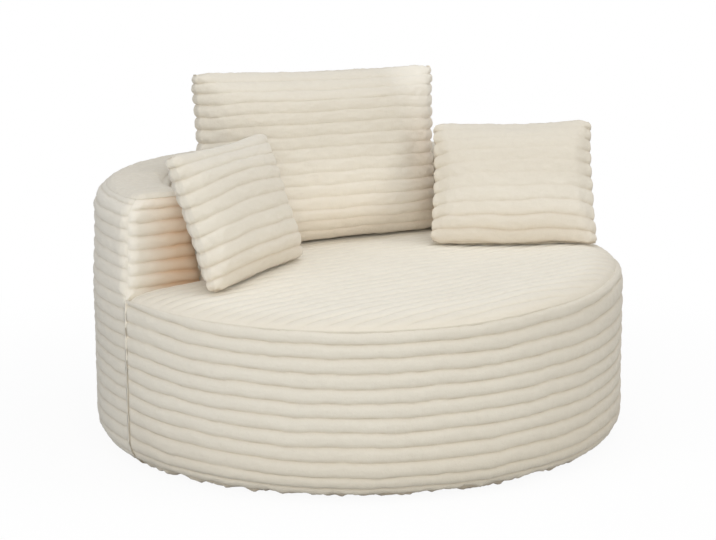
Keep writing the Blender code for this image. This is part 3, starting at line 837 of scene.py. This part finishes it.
def seatGrid(settings, front, rear):
    # Rows along X: wide ones in front, and behind them those that end at the lining
    stops = ribStops(rear, -front)
    stops += [-front * math.cos(math.radians(angle)) for angle in settings["rimDegrees"]]
    stops = [y for y in sorted(set(stops), reverse=True) if abs(y) > 0.0011]
    rearCount = sum(y > 0 for y in stops)
    rows = stops[:rearCount] + [0.0] + stops[rearCount:]
    narrow, bend = rear / front, math.radians(72)
    inner = np.linspace(-1, 1, settings["columns"] * 2 + 1)
    inner = np.sin(inner * bend) / math.sin(bend)
    wide = np.sin(np.linspace(0, math.pi / 2, settings["wideColumns"] + 1)[1:])
    wide = narrow + (1 - narrow) * wide
    across = np.concatenate([-wide[::-1], inner * narrow, wide])
    xs = []
    for y in rows:
        if y > 0:
            half = math.sqrt(max(rear ** 2 - y * y, 0.0))
            xs.append(np.clip(across / narrow, -1, 1) * half)
        else:
            xs.append(across * math.sqrt(max(front ** 2 - y * y, 0.0)))
    keep = np.full((len(rows), len(across)), True)
    keep[:rearCount, :len(wide)] = False
    keep[:rearCount, -len(wide):] = False
    return np.array(xs), inRows(rows, len(across)), keep


def makeSeat(settings):
    front = chair["radius"] - 0.0015
    rear = chair["innerRadius"] + 0.002
    xs, ys, keep = seatGrid(settings, front, rear)
    r = np.hypot(xs, ys)
    beside = np.where(ys > 0, rear - r, np.hypot(np.maximum(rear - np.abs(xs), 0), ys))
    tuck = settings["tuck"] * (1 - smooth(beside, 0.0, settings["tuckWidth"]))
    # The rim follows the seam, which lies further in on the right
    reach = seamReach(np.arctan2(ys, xs))
    slope = np.sin(np.maximum(reach, 0.0) / chair["rimRadius"])
    inset = (rimPoint(reach)[0] - 0.002 * slope) * smooth(r, 0.50, front)
    shrink = 1 - inset / np.maximum(r, 0.1)
    xs, ys = xs * shrink, ys * shrink
    level = seatLevel(xs, ys) - 0.0022 * near(front - r, 0.0045)
    points = np.stack([xs, ys, level - tuck], -1)
    pile = ribHeight(ys / chair["ribPitch"] + rough(points, *settings["wander"]))
    atRim = 0.85 * near(np.maximum(front - r, 0.0), 0.009)
    pile = pile + (cloth["seamPile"] - pile) * atRim
    lean = smooth(r, 0.50, 0.60)
    swell = rough(points, settings["swell"]) * (1 - lean) + rough(points, cloth["swell"]) * lean
    lift = settings["ribDepth"] * smooth(beside, 0.0, 0.012) * (pile - 1)
    lift = lift + rough(points, *settings["lumps"]) + swell
    # The cloth is lifted straight up inside, and more and more outwards at the rim
    share = np.minimum(r / front, 1.0)
    outward = np.stack([xs / front, ys / front, np.sqrt(1.0001 - share ** 2) + slope], -1)
    upward = np.stack([0 * xs, 0 * xs, 1 + 0 * xs], -1)
    normal = outward * lean[..., None] + upward * (1 - lean[..., None])
    normal = normal / np.linalg.norm(normal, axis=2, keepdims=True)
    # Painted shade: darker towards the rim, where the seat rolls over
    layers = {"pile": pile, "paintedShading": settings["paintedRimShade"] * smooth(r, 0.52, 0.595)}
    bm = makeGrid(points + normal * lift[..., None], layers, keep)
    bmesh.ops.remove_doubles(bm, verts=bm.verts[:], dist=0.00005)
    bm.normal_update()
    if sum(face.normal.z for face in bm.faces) < 0:
        bmesh.ops.reverse_faces(bm, faces=bm.faces[:])
    # The edge turns down and in under itself, with a low pile that paints it darker as painted
    # shade in the fold
    pileLayer = bm.verts.layers.float["pile"]
    for inset, drop in settings["rimFolds"]:
        rim = [edge for edge in bm.edges if edge.is_boundary]
        made = bmesh.ops.extrude_edge_only(bm, edges=rim)["geom"]
        for vert in [item for item in made if isinstance(item, bmesh.types.BMVert)]:
            around = vert.co.xy.normalized() * inset
            vert.co.xy -= around
            vert.co.z -= drop
            vert[pileLayer] = 0.3
    piece = makePiece("seatPanel", bm, smoothPlush)
    thicken(piece, chair["coverThickness"])
    settle(piece, ["seat_cover"])


# Padding under the covers: lofts through closed outlines, with the grain of cut foam
padding = {
    "inset": 0.0145,
    "padBack": 0.0453,
    "frame": 0.5305,
    "innerBack": 0.479,
    "rearStart": 0.047,
    "low": 0.286,
    "high": 0.5812,
    "lumps": 0.0008,
    "foamFill": 0.95,
    "crease": math.radians(40),
    "armLevels": (0.286, 0.30, *np.linspace(0.33, 0.54, 8), 0.555, 0.566, 0.574, 0.579, 0.5812),
    "rail": ((0.4795, 0.5725), (0.5245, 0.5725), (0.5245, 0.5812), (0.4795, 0.5812)),
}


def makeLoft(name, loops, ring, node):
    loops = np.array(loops)
    if ring:
        loops = np.concatenate([loops, loops[:1]])
    bm = makeGrid(np.concatenate([loops, loops[:, :1]], 1), {})
    bmesh.ops.remove_doubles(bm, verts=bm.verts[:], dist=0.00001)
    if not ring:
        bmesh.ops.holes_fill(bm, edges=[edge for edge in bm.edges if edge.is_boundary], sides=0)
        bmesh.ops.triangulate(bm, faces=[face for face in bm.faces if len(face.verts) > 4])
    bmesh.ops.recalc_face_normals(bm, faces=bm.faces[:])
    for vert in bm.verts:
        vert.co += vert.normal * noise.noise(vert.co * 45.0) * padding["lumps"]
    piece = makePiece(name, bm, finishes["yellow_foam"], crease=padding["crease"])
    settle(piece, [node])


def sweep(section, start, end, steps):
    # A section of radius and height, carried round the middle of the chair
    section = np.array(section)
    return [np.column_stack([section[:, 0] * math.cos(angle), section[:, 0] * math.sin(angle),
                             section[:, 1]]) for angle in np.linspace(start, end, steps + 1)]


def rearSweep(section, radius, steps):
    # The same round the rear half alone, from one arm pad to the other
    start = math.asin(padding["rearStart"] / radius)
    return sweep(section, start, math.pi - start, steps)


def roundedSection(corners, radius, steps=4):
    # A closed outline with its corners rounded off
    corners = [np.array(corner, float) for corner in corners]
    around = zip(corners[-1:] + corners[:-1], corners, corners[1:] + corners[:1])
    outline = []
    for before, corner, after in around:
        first = corner + (before - corner) / np.linalg.norm(before - corner) * radius
        last = corner + (after - corner) / np.linalg.norm(after - corner) * radius
        for t in np.linspace(0, 1, steps + 1):
            outline.append(first * (1 - t) ** 2 + corner * 2 * t * (1 - t) + last * t ** 2)
    return outline


def makeArmPad(name, node, mirror, settings):
    loops = []
    for z in settings["armLevels"]:
        outer, inner, end, corner = backLevels(z, settings["inset"])
        corner = max(corner, 0.004)
        outside, angle, inside, innerAngle = cornersAt(outer, inner, end, corner)
        rear = settings["padBack"]
        loop = np.concatenate([
            [[math.sqrt(outer ** 2 - rear ** 2), rear]],
            arcPoints(outside, corner, angle, -math.pi / 2, 6),
            arcPoints(inside, corner, -math.pi / 2, -math.pi + innerAngle, 6),
            [[math.sqrt(inner ** 2 - rear ** 2), rear]]])
        loops.append(np.column_stack([loop[:, 0] * mirror, loop[:, 1], np.full(len(loop), z)]))
    makeLoft(name, loops, False, node)


def makePadding(settings):
    makeArmPad("rightArmPad", "arm_pad_right", 1, settings)
    makeArmPad("leftArmPad", "arm_pad_left", -1, settings)
    boards, low = settings["frame"], settings["low"]
    wall = []
    for s in np.linspace(topSeam + 0.01, -0.08, 24):
        z = wallPoint(s)[1] if s > straightUp else chair["seatHeight"] + s
        if z < 0.575:
            wall.append((max(backLevels(z, settings["inset"])[0], boards + 0.002), z))
    section = wall + [(boards, low), (boards, wall[0][1])]
    makeLoft("backOuterPad", rearSweep(section, 0.55, 96), False, "back_outer_foam")
    section = [(backLevels(z, settings["inset"])[1], z) for z in np.linspace(low, 0.576, 20)]
    section += [(settings["innerBack"], settings["high"]), (settings["innerBack"], low)]
    makeLoft("backInnerPad", rearSweep(section, 0.45, 80), False, "back_inner_foam")
    section = roundedSection(settings["rail"], 0.003)
    makeLoft("backTopPad", rearSweep(section, 0.50, 80), False, "back_top_foam")
    section = []
    for s in np.linspace(-0.083, bottomEnd + 0.025, 24):
        r, z = wallPoint(s)
        turn = max(-s - straightDown, 0) / chair["bottomTurn"]
        r, z = r - settings["inset"] * math.cos(turn), z + settings["inset"] * math.sin(turn)
        if r > boards + 0.001:
            section.append((r, z))
    section += [(boards, section[-1][1]), (boards, section[0][1])]
    makeLoft("basePad", sweep(section, 0, 2 * math.pi * 143 / 144, 143), True, "base_foam")


# Layers of the seat: how far the top and the underside lie under the cover, or a flat bottom
seatLayers = (
    {"name": "seatWadding", "node": "seat_wadding", "slot": "white_wadding", "fill": 0.7,
     "top": 0.0125, "under": 0.0203},
    {"name": "seatPad", "node": "seat_foam", "slot": "yellow_foam", "fill": 0.95,
     "top": 0.0208, "bottom": 0.2845},
)
padRings = (0.03, 0.05, 0.08, 0.12, 0.15, 0.15, 0.12, 0.10)


def makeSeatPad(settings):
    # A crowned disc whose rear half is narrower
    def level(vert, drop):
        return crowned(min(vert.co.xy.length / chair["radius"], 0.998)) - drop
    bm = bmesh.new()
    bmesh.ops.create_circle(bm, cap_ends=True, segments=144, radius=1.0)
    inner = bm.faces[:]
    for thickness in padRings:
        bmesh.ops.inset_region(bm, faces=inner, thickness=thickness, use_even_offset=True)
    for vert in bm.verts:
        reach = 0.585 if vert.co.y < 0 else 0.4330
        vert.co.x *= reach
        vert.co.y *= reach
        vert.co.z = level(vert, settings["top"])
    made = bmesh.ops.extrude_face_region(bm, geom=bm.faces[:], use_keep_orig=True)["geom"]
    for vert in [item for item in made if isinstance(item, bmesh.types.BMVert)]:
        flat = settings.get("bottom")
        vert.co.z = flat if flat else level(vert, settings["under"])
    bmesh.ops.recalc_face_normals(bm, faces=bm.faces[:])
    slot = settings["slot"]
    piece = makePiece(settings["name"], bm, finishes[slot], crease=padding["crease"])
    settle(piece, [settings["node"]])


def makeDustCover():
    # A disc of thin black cloth, stretched and stapled under the base board
    low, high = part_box("dust_cover")
    reach = (high[0] - low[0]) / 2
    bm = bmesh.new()
    bmesh.ops.create_circle(bm, cap_ends=True, segments=96, radius=reach)
    inner = bm.faces[:]
    for step in range(6):
        bmesh.ops.inset_region(bm, faces=inner, thickness=reach / 7.5, use_even_offset=True)
    for vert in bm.verts:
        vert.co.z = high[2] - 0.0001
    piece = makePiece("dustSheet", bm, finishes["black_lining"], soft=False)
    thicken(piece, 0.0009)
    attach(piece, "chair")
    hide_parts("dust_cover")


makeFrontBand(frontBand)
makeOuterBack(back)
makeArmEnd("rightArmEnd", "arm_cover_right", 1, back)
makeArmEnd("leftArmEnd", "arm_cover_left", -1, back)
makeLining(back)
makeBackTop(backTop)
makeSeat(seat)
print("covers of the drum and the back made")
makePadding(padding)
for layer in seatLayers:
    makeSeatPad(layer)
makeDustCover()
print("padding and dust cover made")


# Loose cushions, stuffed by a short cloth simulation and then ribbed
# Some values of each cushion set its painted light, painted shade and painted warm shade
backCushion = {
    "name": "backCushion", "body": "back_cushion",
    "nodes": ["back_cushion_cover", "back_cushion_filling"],
    "size": (0.650, 0.170, 0.402), "ribs": 15, "columns": 60, "zip": 0.420, "cap": 0.024,
    "ribDepth": 0.0040, "taut": 0.45, "bow": 0.004, "grow": (1.010, 1.008, 1.0), "leftTall": 0.0,
    "place": (0.037, 0.213, 0.60788), "turn": (-5.0, 1.5, -1.0), "sink": 0.35,
    "drift": 1.0, "pale": 0.9, "paintedHighShade": 0.12, "warmShadeAmount": 0.15,
}
pillow = {"size": (0.385, 0.105, 0.290), "ribs": 10, "columns": 40, "zip": 0.240, "cap": 0.022,
          "sink": 0.45, "pale": 0.0}
leftPillow = {
    **pillow, "name": "leftPillow", "body": "left_pillow",
    "nodes": ["left_pillow_cover", "left_pillow_filling"],
    "ribDepth": 0.0042, "taut": 0.25, "bow": 0.012, "grow": (1.005, 1.01, 1.0), "leftTall": 0.035,
    "place": (-0.329, -0.021, 0.54223), "turn": (-19.0, -2.0, 28.5),
    "drift": 0.7, "paintedHighShade": 0.06, "warmShadeAmount": 0.08,
}
rightPillow = {
    **pillow, "name": "rightPillow", "body": "right_pillow",
    "nodes": ["right_pillow_cover", "right_pillow_filling"],
    "ribDepth": 0.0034, "taut": 0.72, "bow": 0.004, "grow": (0.985, 1.02, 0.975), "leftTall": 0.0,
    "place": (0.394, -0.071, 0.54357), "turn": (-27.0, -1.5, -39.0),
    "drift": 1.4, "paintedHighShade": 0.20, "warmShadeAmount": 0.10,
}
stuffing = {
    "edge": 0.011,
    "start": 0.90,
    "sideDraw": 0.018,
    "topDraw": 0.008,
    "spread": math.radians(30),
    "corner": 0.006,
    "knobs": 0.0066,
    "frames": 20,
    "flatShare": 0.25,
    "cloth": {
        "quality": 6, "mass": 0.3, "tension_stiffness": 15, "compression_stiffness": 15,
        "shear_stiffness": 5, "bending_stiffness": 0.3, "use_pressure": True,
        "uniform_pressure_force": 3.0,
    },
    "wander": ((9.0, 3.0, 0.12), (24.0, 29.0, 0.06)),
    "lumps": ((60.0, 23.0, 0.0015), (130.0, 41.0, 0.0010)),
    "swell": (14.0, 5.0, 0.0017),
}
slit = {"depth": 0.013, "width": 0.0108, "below": 0.03}
rowSteps = (0.0, 0.08, 0.25, 0.5, 0.75, 0.92)


def crown(share, power=2.4):
    return (1 - np.abs(share) ** power) ** 0.68


def makeCushion(settings):
    width, thick, height = settings["size"]
    rows = settings["ribs"] * len(rowSteps)
    bm = bmesh.new()
    bmesh.ops.create_grid(bm, x_segments=settings["columns"], y_segments=rows, size=0.5)
    up, seam, aside = (bm.verts.layers.float.new(key) for key in ("up", "seam", "aside"))
    made = bmesh.ops.extrude_face_region(bm, geom=bm.faces[:], use_keep_orig=True)
    lifted = [item for item in made["geom"] if isinstance(item, bmesh.types.BMVert)]
    bmesh.ops.translate(bm, verts=lifted, vec=(0, 0, 1))
    bmesh.ops.recalc_face_normals(bm, faces=bm.faces[:])
    walls = [edge for edge in bm.edges if abs(edge.verts[0].co.z - edge.verts[1].co.z) > 0.5]
    bmesh.ops.subdivide_edges(bm, edges=walls, cuts=1)
    edge, spread = stuffing["edge"], stuffing["spread"]
    for vert in bm.verts:
        rib, step = divmod(round((vert.co.y + 0.5) * rows), len(rowSteps))
        q = 2 * (rib + rowSteps[step]) / settings["ribs"] - 1
        side = 2 * vert.co.z - 1
        shareU = math.sin(math.pi * vert.co.x)
        shareW = math.sin(spread * q) / math.sin(spread)
        full = thick / 2 * stuffing["start"] - edge
        half = edge + full * float(crown(shareU) * crown(shareW, 3.2))
        drawn = 1 - stuffing["sideDraw"] * (1 - shareW ** 2) * shareU ** 2
        dip = stuffing["topDraw"] * (1 - shareU ** 2) * max(shareW, 0.0) ** 2
        dip -= settings["bow"] * (1 - shareU ** 2) * (1 - shareW ** 2)
        corner = smooth(abs(shareU), 0.86, 1.0) * smooth(abs(shareW), 0.84, 1.0)
        corner = stuffing["corner"] * float(corner)
        vert[aside] = abs(shareU)
        vert[up] = (q + 1) / 2 * settings["ribs"]
        vert[seam] = 1.0 if abs(side) < 0.1 else 0.0
        vert.co = (shareU * (width / 2 * drawn - corner), -side * half,
                   shareW * (height / 2 - corner) - dip)
    bmesh.ops.recalc_face_normals(bm, faces=bm.faces[:])
    piece = makePiece(settings["name"], bm, soft=False)
    stuff(piece, settings)
    finerMesh = piece.modifiers.new("Finer", "SUBSURF")
    finerMesh.levels = 1
    finerMesh.render_levels = 1
    calm = piece.modifiers.new("Calm", "SMOOTH")
    calm.factor = 0.5
    calm.iterations = 4
    keepShape(piece)
    ribCushion(piece, settings)
    return piece


def keepShape(piece):
    # The evaluated mesh becomes the piece's own, with no modifier left
    bpy.context.view_layer.update()
    graph = bpy.context.evaluated_depsgraph_get()
    mesh = bpy.data.meshes.new_from_object(piece.evaluated_get(graph), depsgraph=graph)
    old = piece.data
    piece.modifiers.clear()
    piece.data = mesh
    bpy.data.meshes.remove(old)
    mesh.name = piece.name


def coordinates(mesh):
    found = np.empty(len(mesh.vertices) * 3)
    mesh.vertices.foreach_get("co", found)
    return found.reshape(-1, 3)


def readLayer(mesh, name):
    found = np.empty(len(mesh.vertices))
    mesh.attributes[name].data.foreach_get("value", found)
    return found


def writeLayer(mesh, name, values):
    mesh.attributes.new(name, "FLOAT", "POINT").data.foreach_set("value", values)


def stuff(piece, settings):
    start = coordinates(piece.data)
    case = piece.modifiers.new("Stuffing", "CLOTH")
    for name, value in stuffing["cloth"].items():
        setattr(case.settings, name, value)
    case.settings.effector_weights.gravity = 0
    case.point_cache.frame_start = 1
    case.point_cache.frame_end = stuffing["frames"]
    for step in range(1, stuffing["frames"] + 1):
        scene.frame_set(step)
    graph = bpy.context.evaluated_depsgraph_get()
    end = coordinates(piece.evaluated_get(graph).to_mesh())
    piece.modifiers.clear()
    scene.frame_set(1)
    shift = end - start
    length = np.linalg.norm(shift, axis=1, keepdims=True)
    shift *= np.minimum(1.0, settings["cap"] / np.maximum(length, 1e-9))
    # Stuffing fills the cushion out more than it draws its edges in
    shift *= np.array([stuffing["flatShare"], 1.0, stuffing["flatShare"]])
    grown = start + shift
    reach = np.abs(grown).max(axis=0)
    grown *= np.array(settings["size"]) / 2 / reach
    piece.data.vertices.foreach_set("co", grown.ravel())
    piece.data.update()
    print("stuffed", settings["name"])


def ribCushion(piece, settings):
    mesh = piece.data
    points = coordinates(mesh)
    normals = np.array([vertex.normal for vertex in mesh.vertices])
    up, seam, aside = (readLayer(mesh, name) for name in ("up", "seam", "aside"))
    seeded = points + sum(settings["place"])
    pile = ribHeight(up + rough(seeded, *stuffing["wander"]) * settings["drift"])
    height = np.clip(up / settings["ribs"], 0.0, 1.0)
    ends = smooth(aside, 0.93, 1.0) * (1 - smooth(np.abs(2 * height - 1), 0.90, 1.0))
    # The stuffing draws the ribs flat over the upper face and leaves them full below and aside
    taut = smooth(height, 0.12, 0.5) * (1 - 0.8 * smooth(aside, 0.80, 0.97))
    taut = settings["taut"] * (taut + rough(seeded, (6.0, 51.0, 0.15)))
    taut = np.clip(taut, 0.0, 0.9)
    depth = settings["ribDepth"] * (1 - taut) * (1 - ends) + stuffing["knobs"] * ends
    lift = depth * (pile - 0.75) + rough(seeded, *stuffing["lumps"], stuffing["swell"])
    lift = lift - 0.0015 * seam ** 2 * (1 - ends)
    pile = 1 - (1 - pile) * (1 - 0.8 * taut)
    points = points + normals * lift[:, None]
    # The last fitting: how much wider and taller, and how much narrower at the top
    wide, tall, narrow = settings["grow"]
    bottom = -settings["size"][2] / 2
    height = (points[:, 2] - bottom) / settings["size"][2]
    points[:, 0] *= wide * (1 + (narrow - 1) * (2 * height - 1))
    left = np.clip(0.5 - points[:, 0] / settings["size"][0], 0.0, 1.0)
    points[:, 2] = bottom + (points[:, 2] - bottom) * (tall + settings["leftTall"] * left)
    mesh.vertices.foreach_set("co", points.ravel())
    # Painted light and shade: paler (painted light) and warmer (painted warm shade) low down and at
    # the right, and painted darker further up as painted shade
    beside = smooth(points[:, 0] / settings["size"][0], 0.25, 0.42)
    pale = settings["pale"] * np.maximum(1 - smooth(height, 0.2, 0.7), beside)
    warmShade = 2 * settings["pale"] * beside * (1 - smooth(height, 0.5, 0.8))
    warmShade = np.maximum(1 - smooth(height, 0.0, 0.4), warmShade)
    # Painted shade along the side seam, by a lower pile
    writeLayer(mesh, "pile", pile * (1 - 0.3 * seam ** 2))
    writeLayer(mesh, "paintedShading", pale - settings["paintedHighShade"] * smooth(height, 0.25, 0.6))
    writeLayer(mesh, "warmShade", settings["warmShadeAmount"] * warmShade)
    mesh.materials.append(plushCover)
    mesh.shade_smooth()


def cutSlit(piece, settings):
    # The slit along the bottom edge in which the zip lies
    tall = slit["depth"] + slit["below"]
    middle = -settings["size"][2] / 2 + slit["depth"] - tall / 2
    bm = bmesh.new()
    bmesh.ops.create_cube(bm, size=1.0)
    bmesh.ops.scale(bm, verts=bm.verts[:], vec=(settings["zip"], slit["width"], tall))
    bmesh.ops.translate(bm, verts=bm.verts[:], vec=(0, 0, middle))
    cutter = makePiece("slit", bm, soft=False)
    cut = piece.modifiers.new("Slit", "BOOLEAN")
    cut.operation = "DIFFERENCE"
    cut.solver = "EXACT"
    cut.object = cutter
    keepShape(piece)
    bpy.data.objects.remove(cutter)


def standCushion(piece, settings):
    turn = Matrix.Identity(4)
    for axis, angle in zip("XYZ", settings["turn"]):
        turn = Matrix.Rotation(math.radians(angle), 4, axis) @ turn
    turn = Matrix.Translation(Vector(settings["place"])) @ turn
    mesh = piece.data
    width, _, height = settings["size"]
    before = coordinates(mesh)
    mesh.transform(turn)
    points = coordinates(mesh)
    # Its lower part sinks until the bottom edge rests on the crowned seat
    across = np.linspace(-0.5, 0.5, 21) * width
    edge = np.array([turn @ Vector((value, 0.0, -height / 2)) for value in across])
    gap = np.maximum(edge[:, 2] - seatLevel(edge[:, 0], edge[:, 1]) - 0.002, 0.0)
    share = np.clip(before[:, 2] / height + 0.5, 0.0, 1.0)
    sunk = np.interp(before[:, 0], across, gap) * (1 - smooth(share, 0.0, settings["sink"]))
    lowest = seatLevel(points[:, 0], points[:, 1]) + 0.0005
    points[:, 2] = np.maximum(points[:, 2] - sunk, lowest)
    mesh.vertices.foreach_set("co", points.ravel())
    mesh.update()
    settle(piece, settings["nodes"], body=settings["body"])


for settings in (backCushion, leftPillow, rightPillow):
    cushion = makeCushion(settings)
    cutSlit(cushion, settings)
    standCushion(cushion, settings)
print("cushions made")


# Camera, floor and light
view = {"lens": 100.56, "distance": 4.4811, "height": 1.2559, "down": 0.1957, "roll": -0.0072,
        "azimuth": math.radians(-34.5)}


def makeCamera(settings):
    data = bpy.data.cameras.new("camera")
    data.sensor_width = 36.0
    data.lens = settings["lens"]
    data.clip_end = 50.0
    camera = bpy.data.objects.new("camera", data)
    scene.collection.objects.link(camera)
    level = Matrix.Rotation(settings["azimuth"], 3, "Z")
    down, roll = settings["down"], settings["roll"]
    right = level @ Vector((1, 0, 0))
    up = level @ Vector((0, math.sin(down), math.cos(down)))
    ahead = level @ Vector((0, math.cos(down), -math.sin(down)))
    rolledRight = right * math.cos(roll) + up * math.sin(roll)
    rolledUp = up * math.cos(roll) - right * math.sin(roll)
    turn = Matrix((rolledRight, rolledUp, -ahead)).transposed()
    place = level @ Vector((0, -settings["distance"], settings["height"]))
    camera.matrix_world = Matrix.LocRotScale(place, turn, None)
    scene.camera = camera


room = {
    "world": 0.34,
    "floorPaint": (0.60, 0.60, 0.59, 1.0),
    "floorSize": 12.0,
    "floorGlow": 0.93,
    "glowFrom": 0.7,
    "glowTo": 1.8,
    "target": (0.0, 0.0, 0.3),
}
white = (1.0, 1.0, 1.0, 1.0)
# Power, size, place and colour
lamps = {
    "keyLamp": (34.0, 2.4, (-2.0, -3.6, 2.4), (1.00, 1.00, 0.98)),
    "fillLamp": (27.0, 2.2, (2.6, -2.8, 2.0), (1.05, 1.01, 0.93)),
    "leftLamp": (32.0, 2.2, (-3.6, -0.6, 2.0), (0.96, 1.00, 1.06)),
    "topLamp": (36.5, 2.6, (0.3, -0.3, 3.6), (0.965, 1.00, 1.05)),
    "frontLamp": (25.5, 2.0, (-2.2, -3.2, 0.9), (1.01, 1.01, 0.96)),
}


def makeLamp(name, power, size, place, color):
    data = bpy.data.lights.new(name, "AREA")
    data.energy = power
    data.size = size
    data.color = color
    lamp = bpy.data.objects.new(name, data)
    scene.collection.objects.link(lamp)
    lamp.location = place
    away = Vector(room["target"]) - Vector(place)
    lamp.rotation_euler = away.to_track_quat("-Z", "Y").to_euler()


def makeFloor(settings):
    # Matt where light falls on it, white where it is only seen, and a little less white nearby
    recipe = Recipe("paleFloor")
    seen = recipe.seen()
    matt = recipe.add("ShaderNodeBsdfDiffuse", {}, {
        "Color": recipe.blend(seen, settings["floorPaint"], white)})
    glow = recipe.add("ShaderNodeEmission", {}, {"Color": white, "Strength": 1.0})
    away = recipe.add("ShaderNodeVectorMath", {"operation": "LENGTH"}, {0: recipe.place()}, "Value")
    share = recipe.add("ShaderNodeMapRange", {"interpolation_type": "SMOOTHSTEP"}, {
        "Value": away, "From Min": settings["glowFrom"], "From Max": settings["glowTo"],
        "To Min": settings["floorGlow"], "To Max": 1.0})
    mixed = recipe.add("ShaderNodeMixShader", {}, {0: seen * share, 1: matt, 2: glow})
    bm = bmesh.new()
    bmesh.ops.create_grid(bm, x_segments=1, y_segments=1, size=settings["floorSize"])
    makePiece("floor", bm, recipe.finish(mixed), soft=False)


def makeWorld(settings):
    world = bpy.data.worlds.new("room")
    scene.world = world
    recipe = Recipe("", world)
    strength = recipe.seen() * (1 - settings["world"]) + settings["world"]
    recipe.finish(recipe.add("ShaderNodeBackground", {}, {"Color": white, "Strength": strength}))


makeCamera(view)
makeFloor(room)
makeWorld(room)
for name, lamp in lamps.items():
    makeLamp(name, *lamp)
print("camera, floor and lamps made")
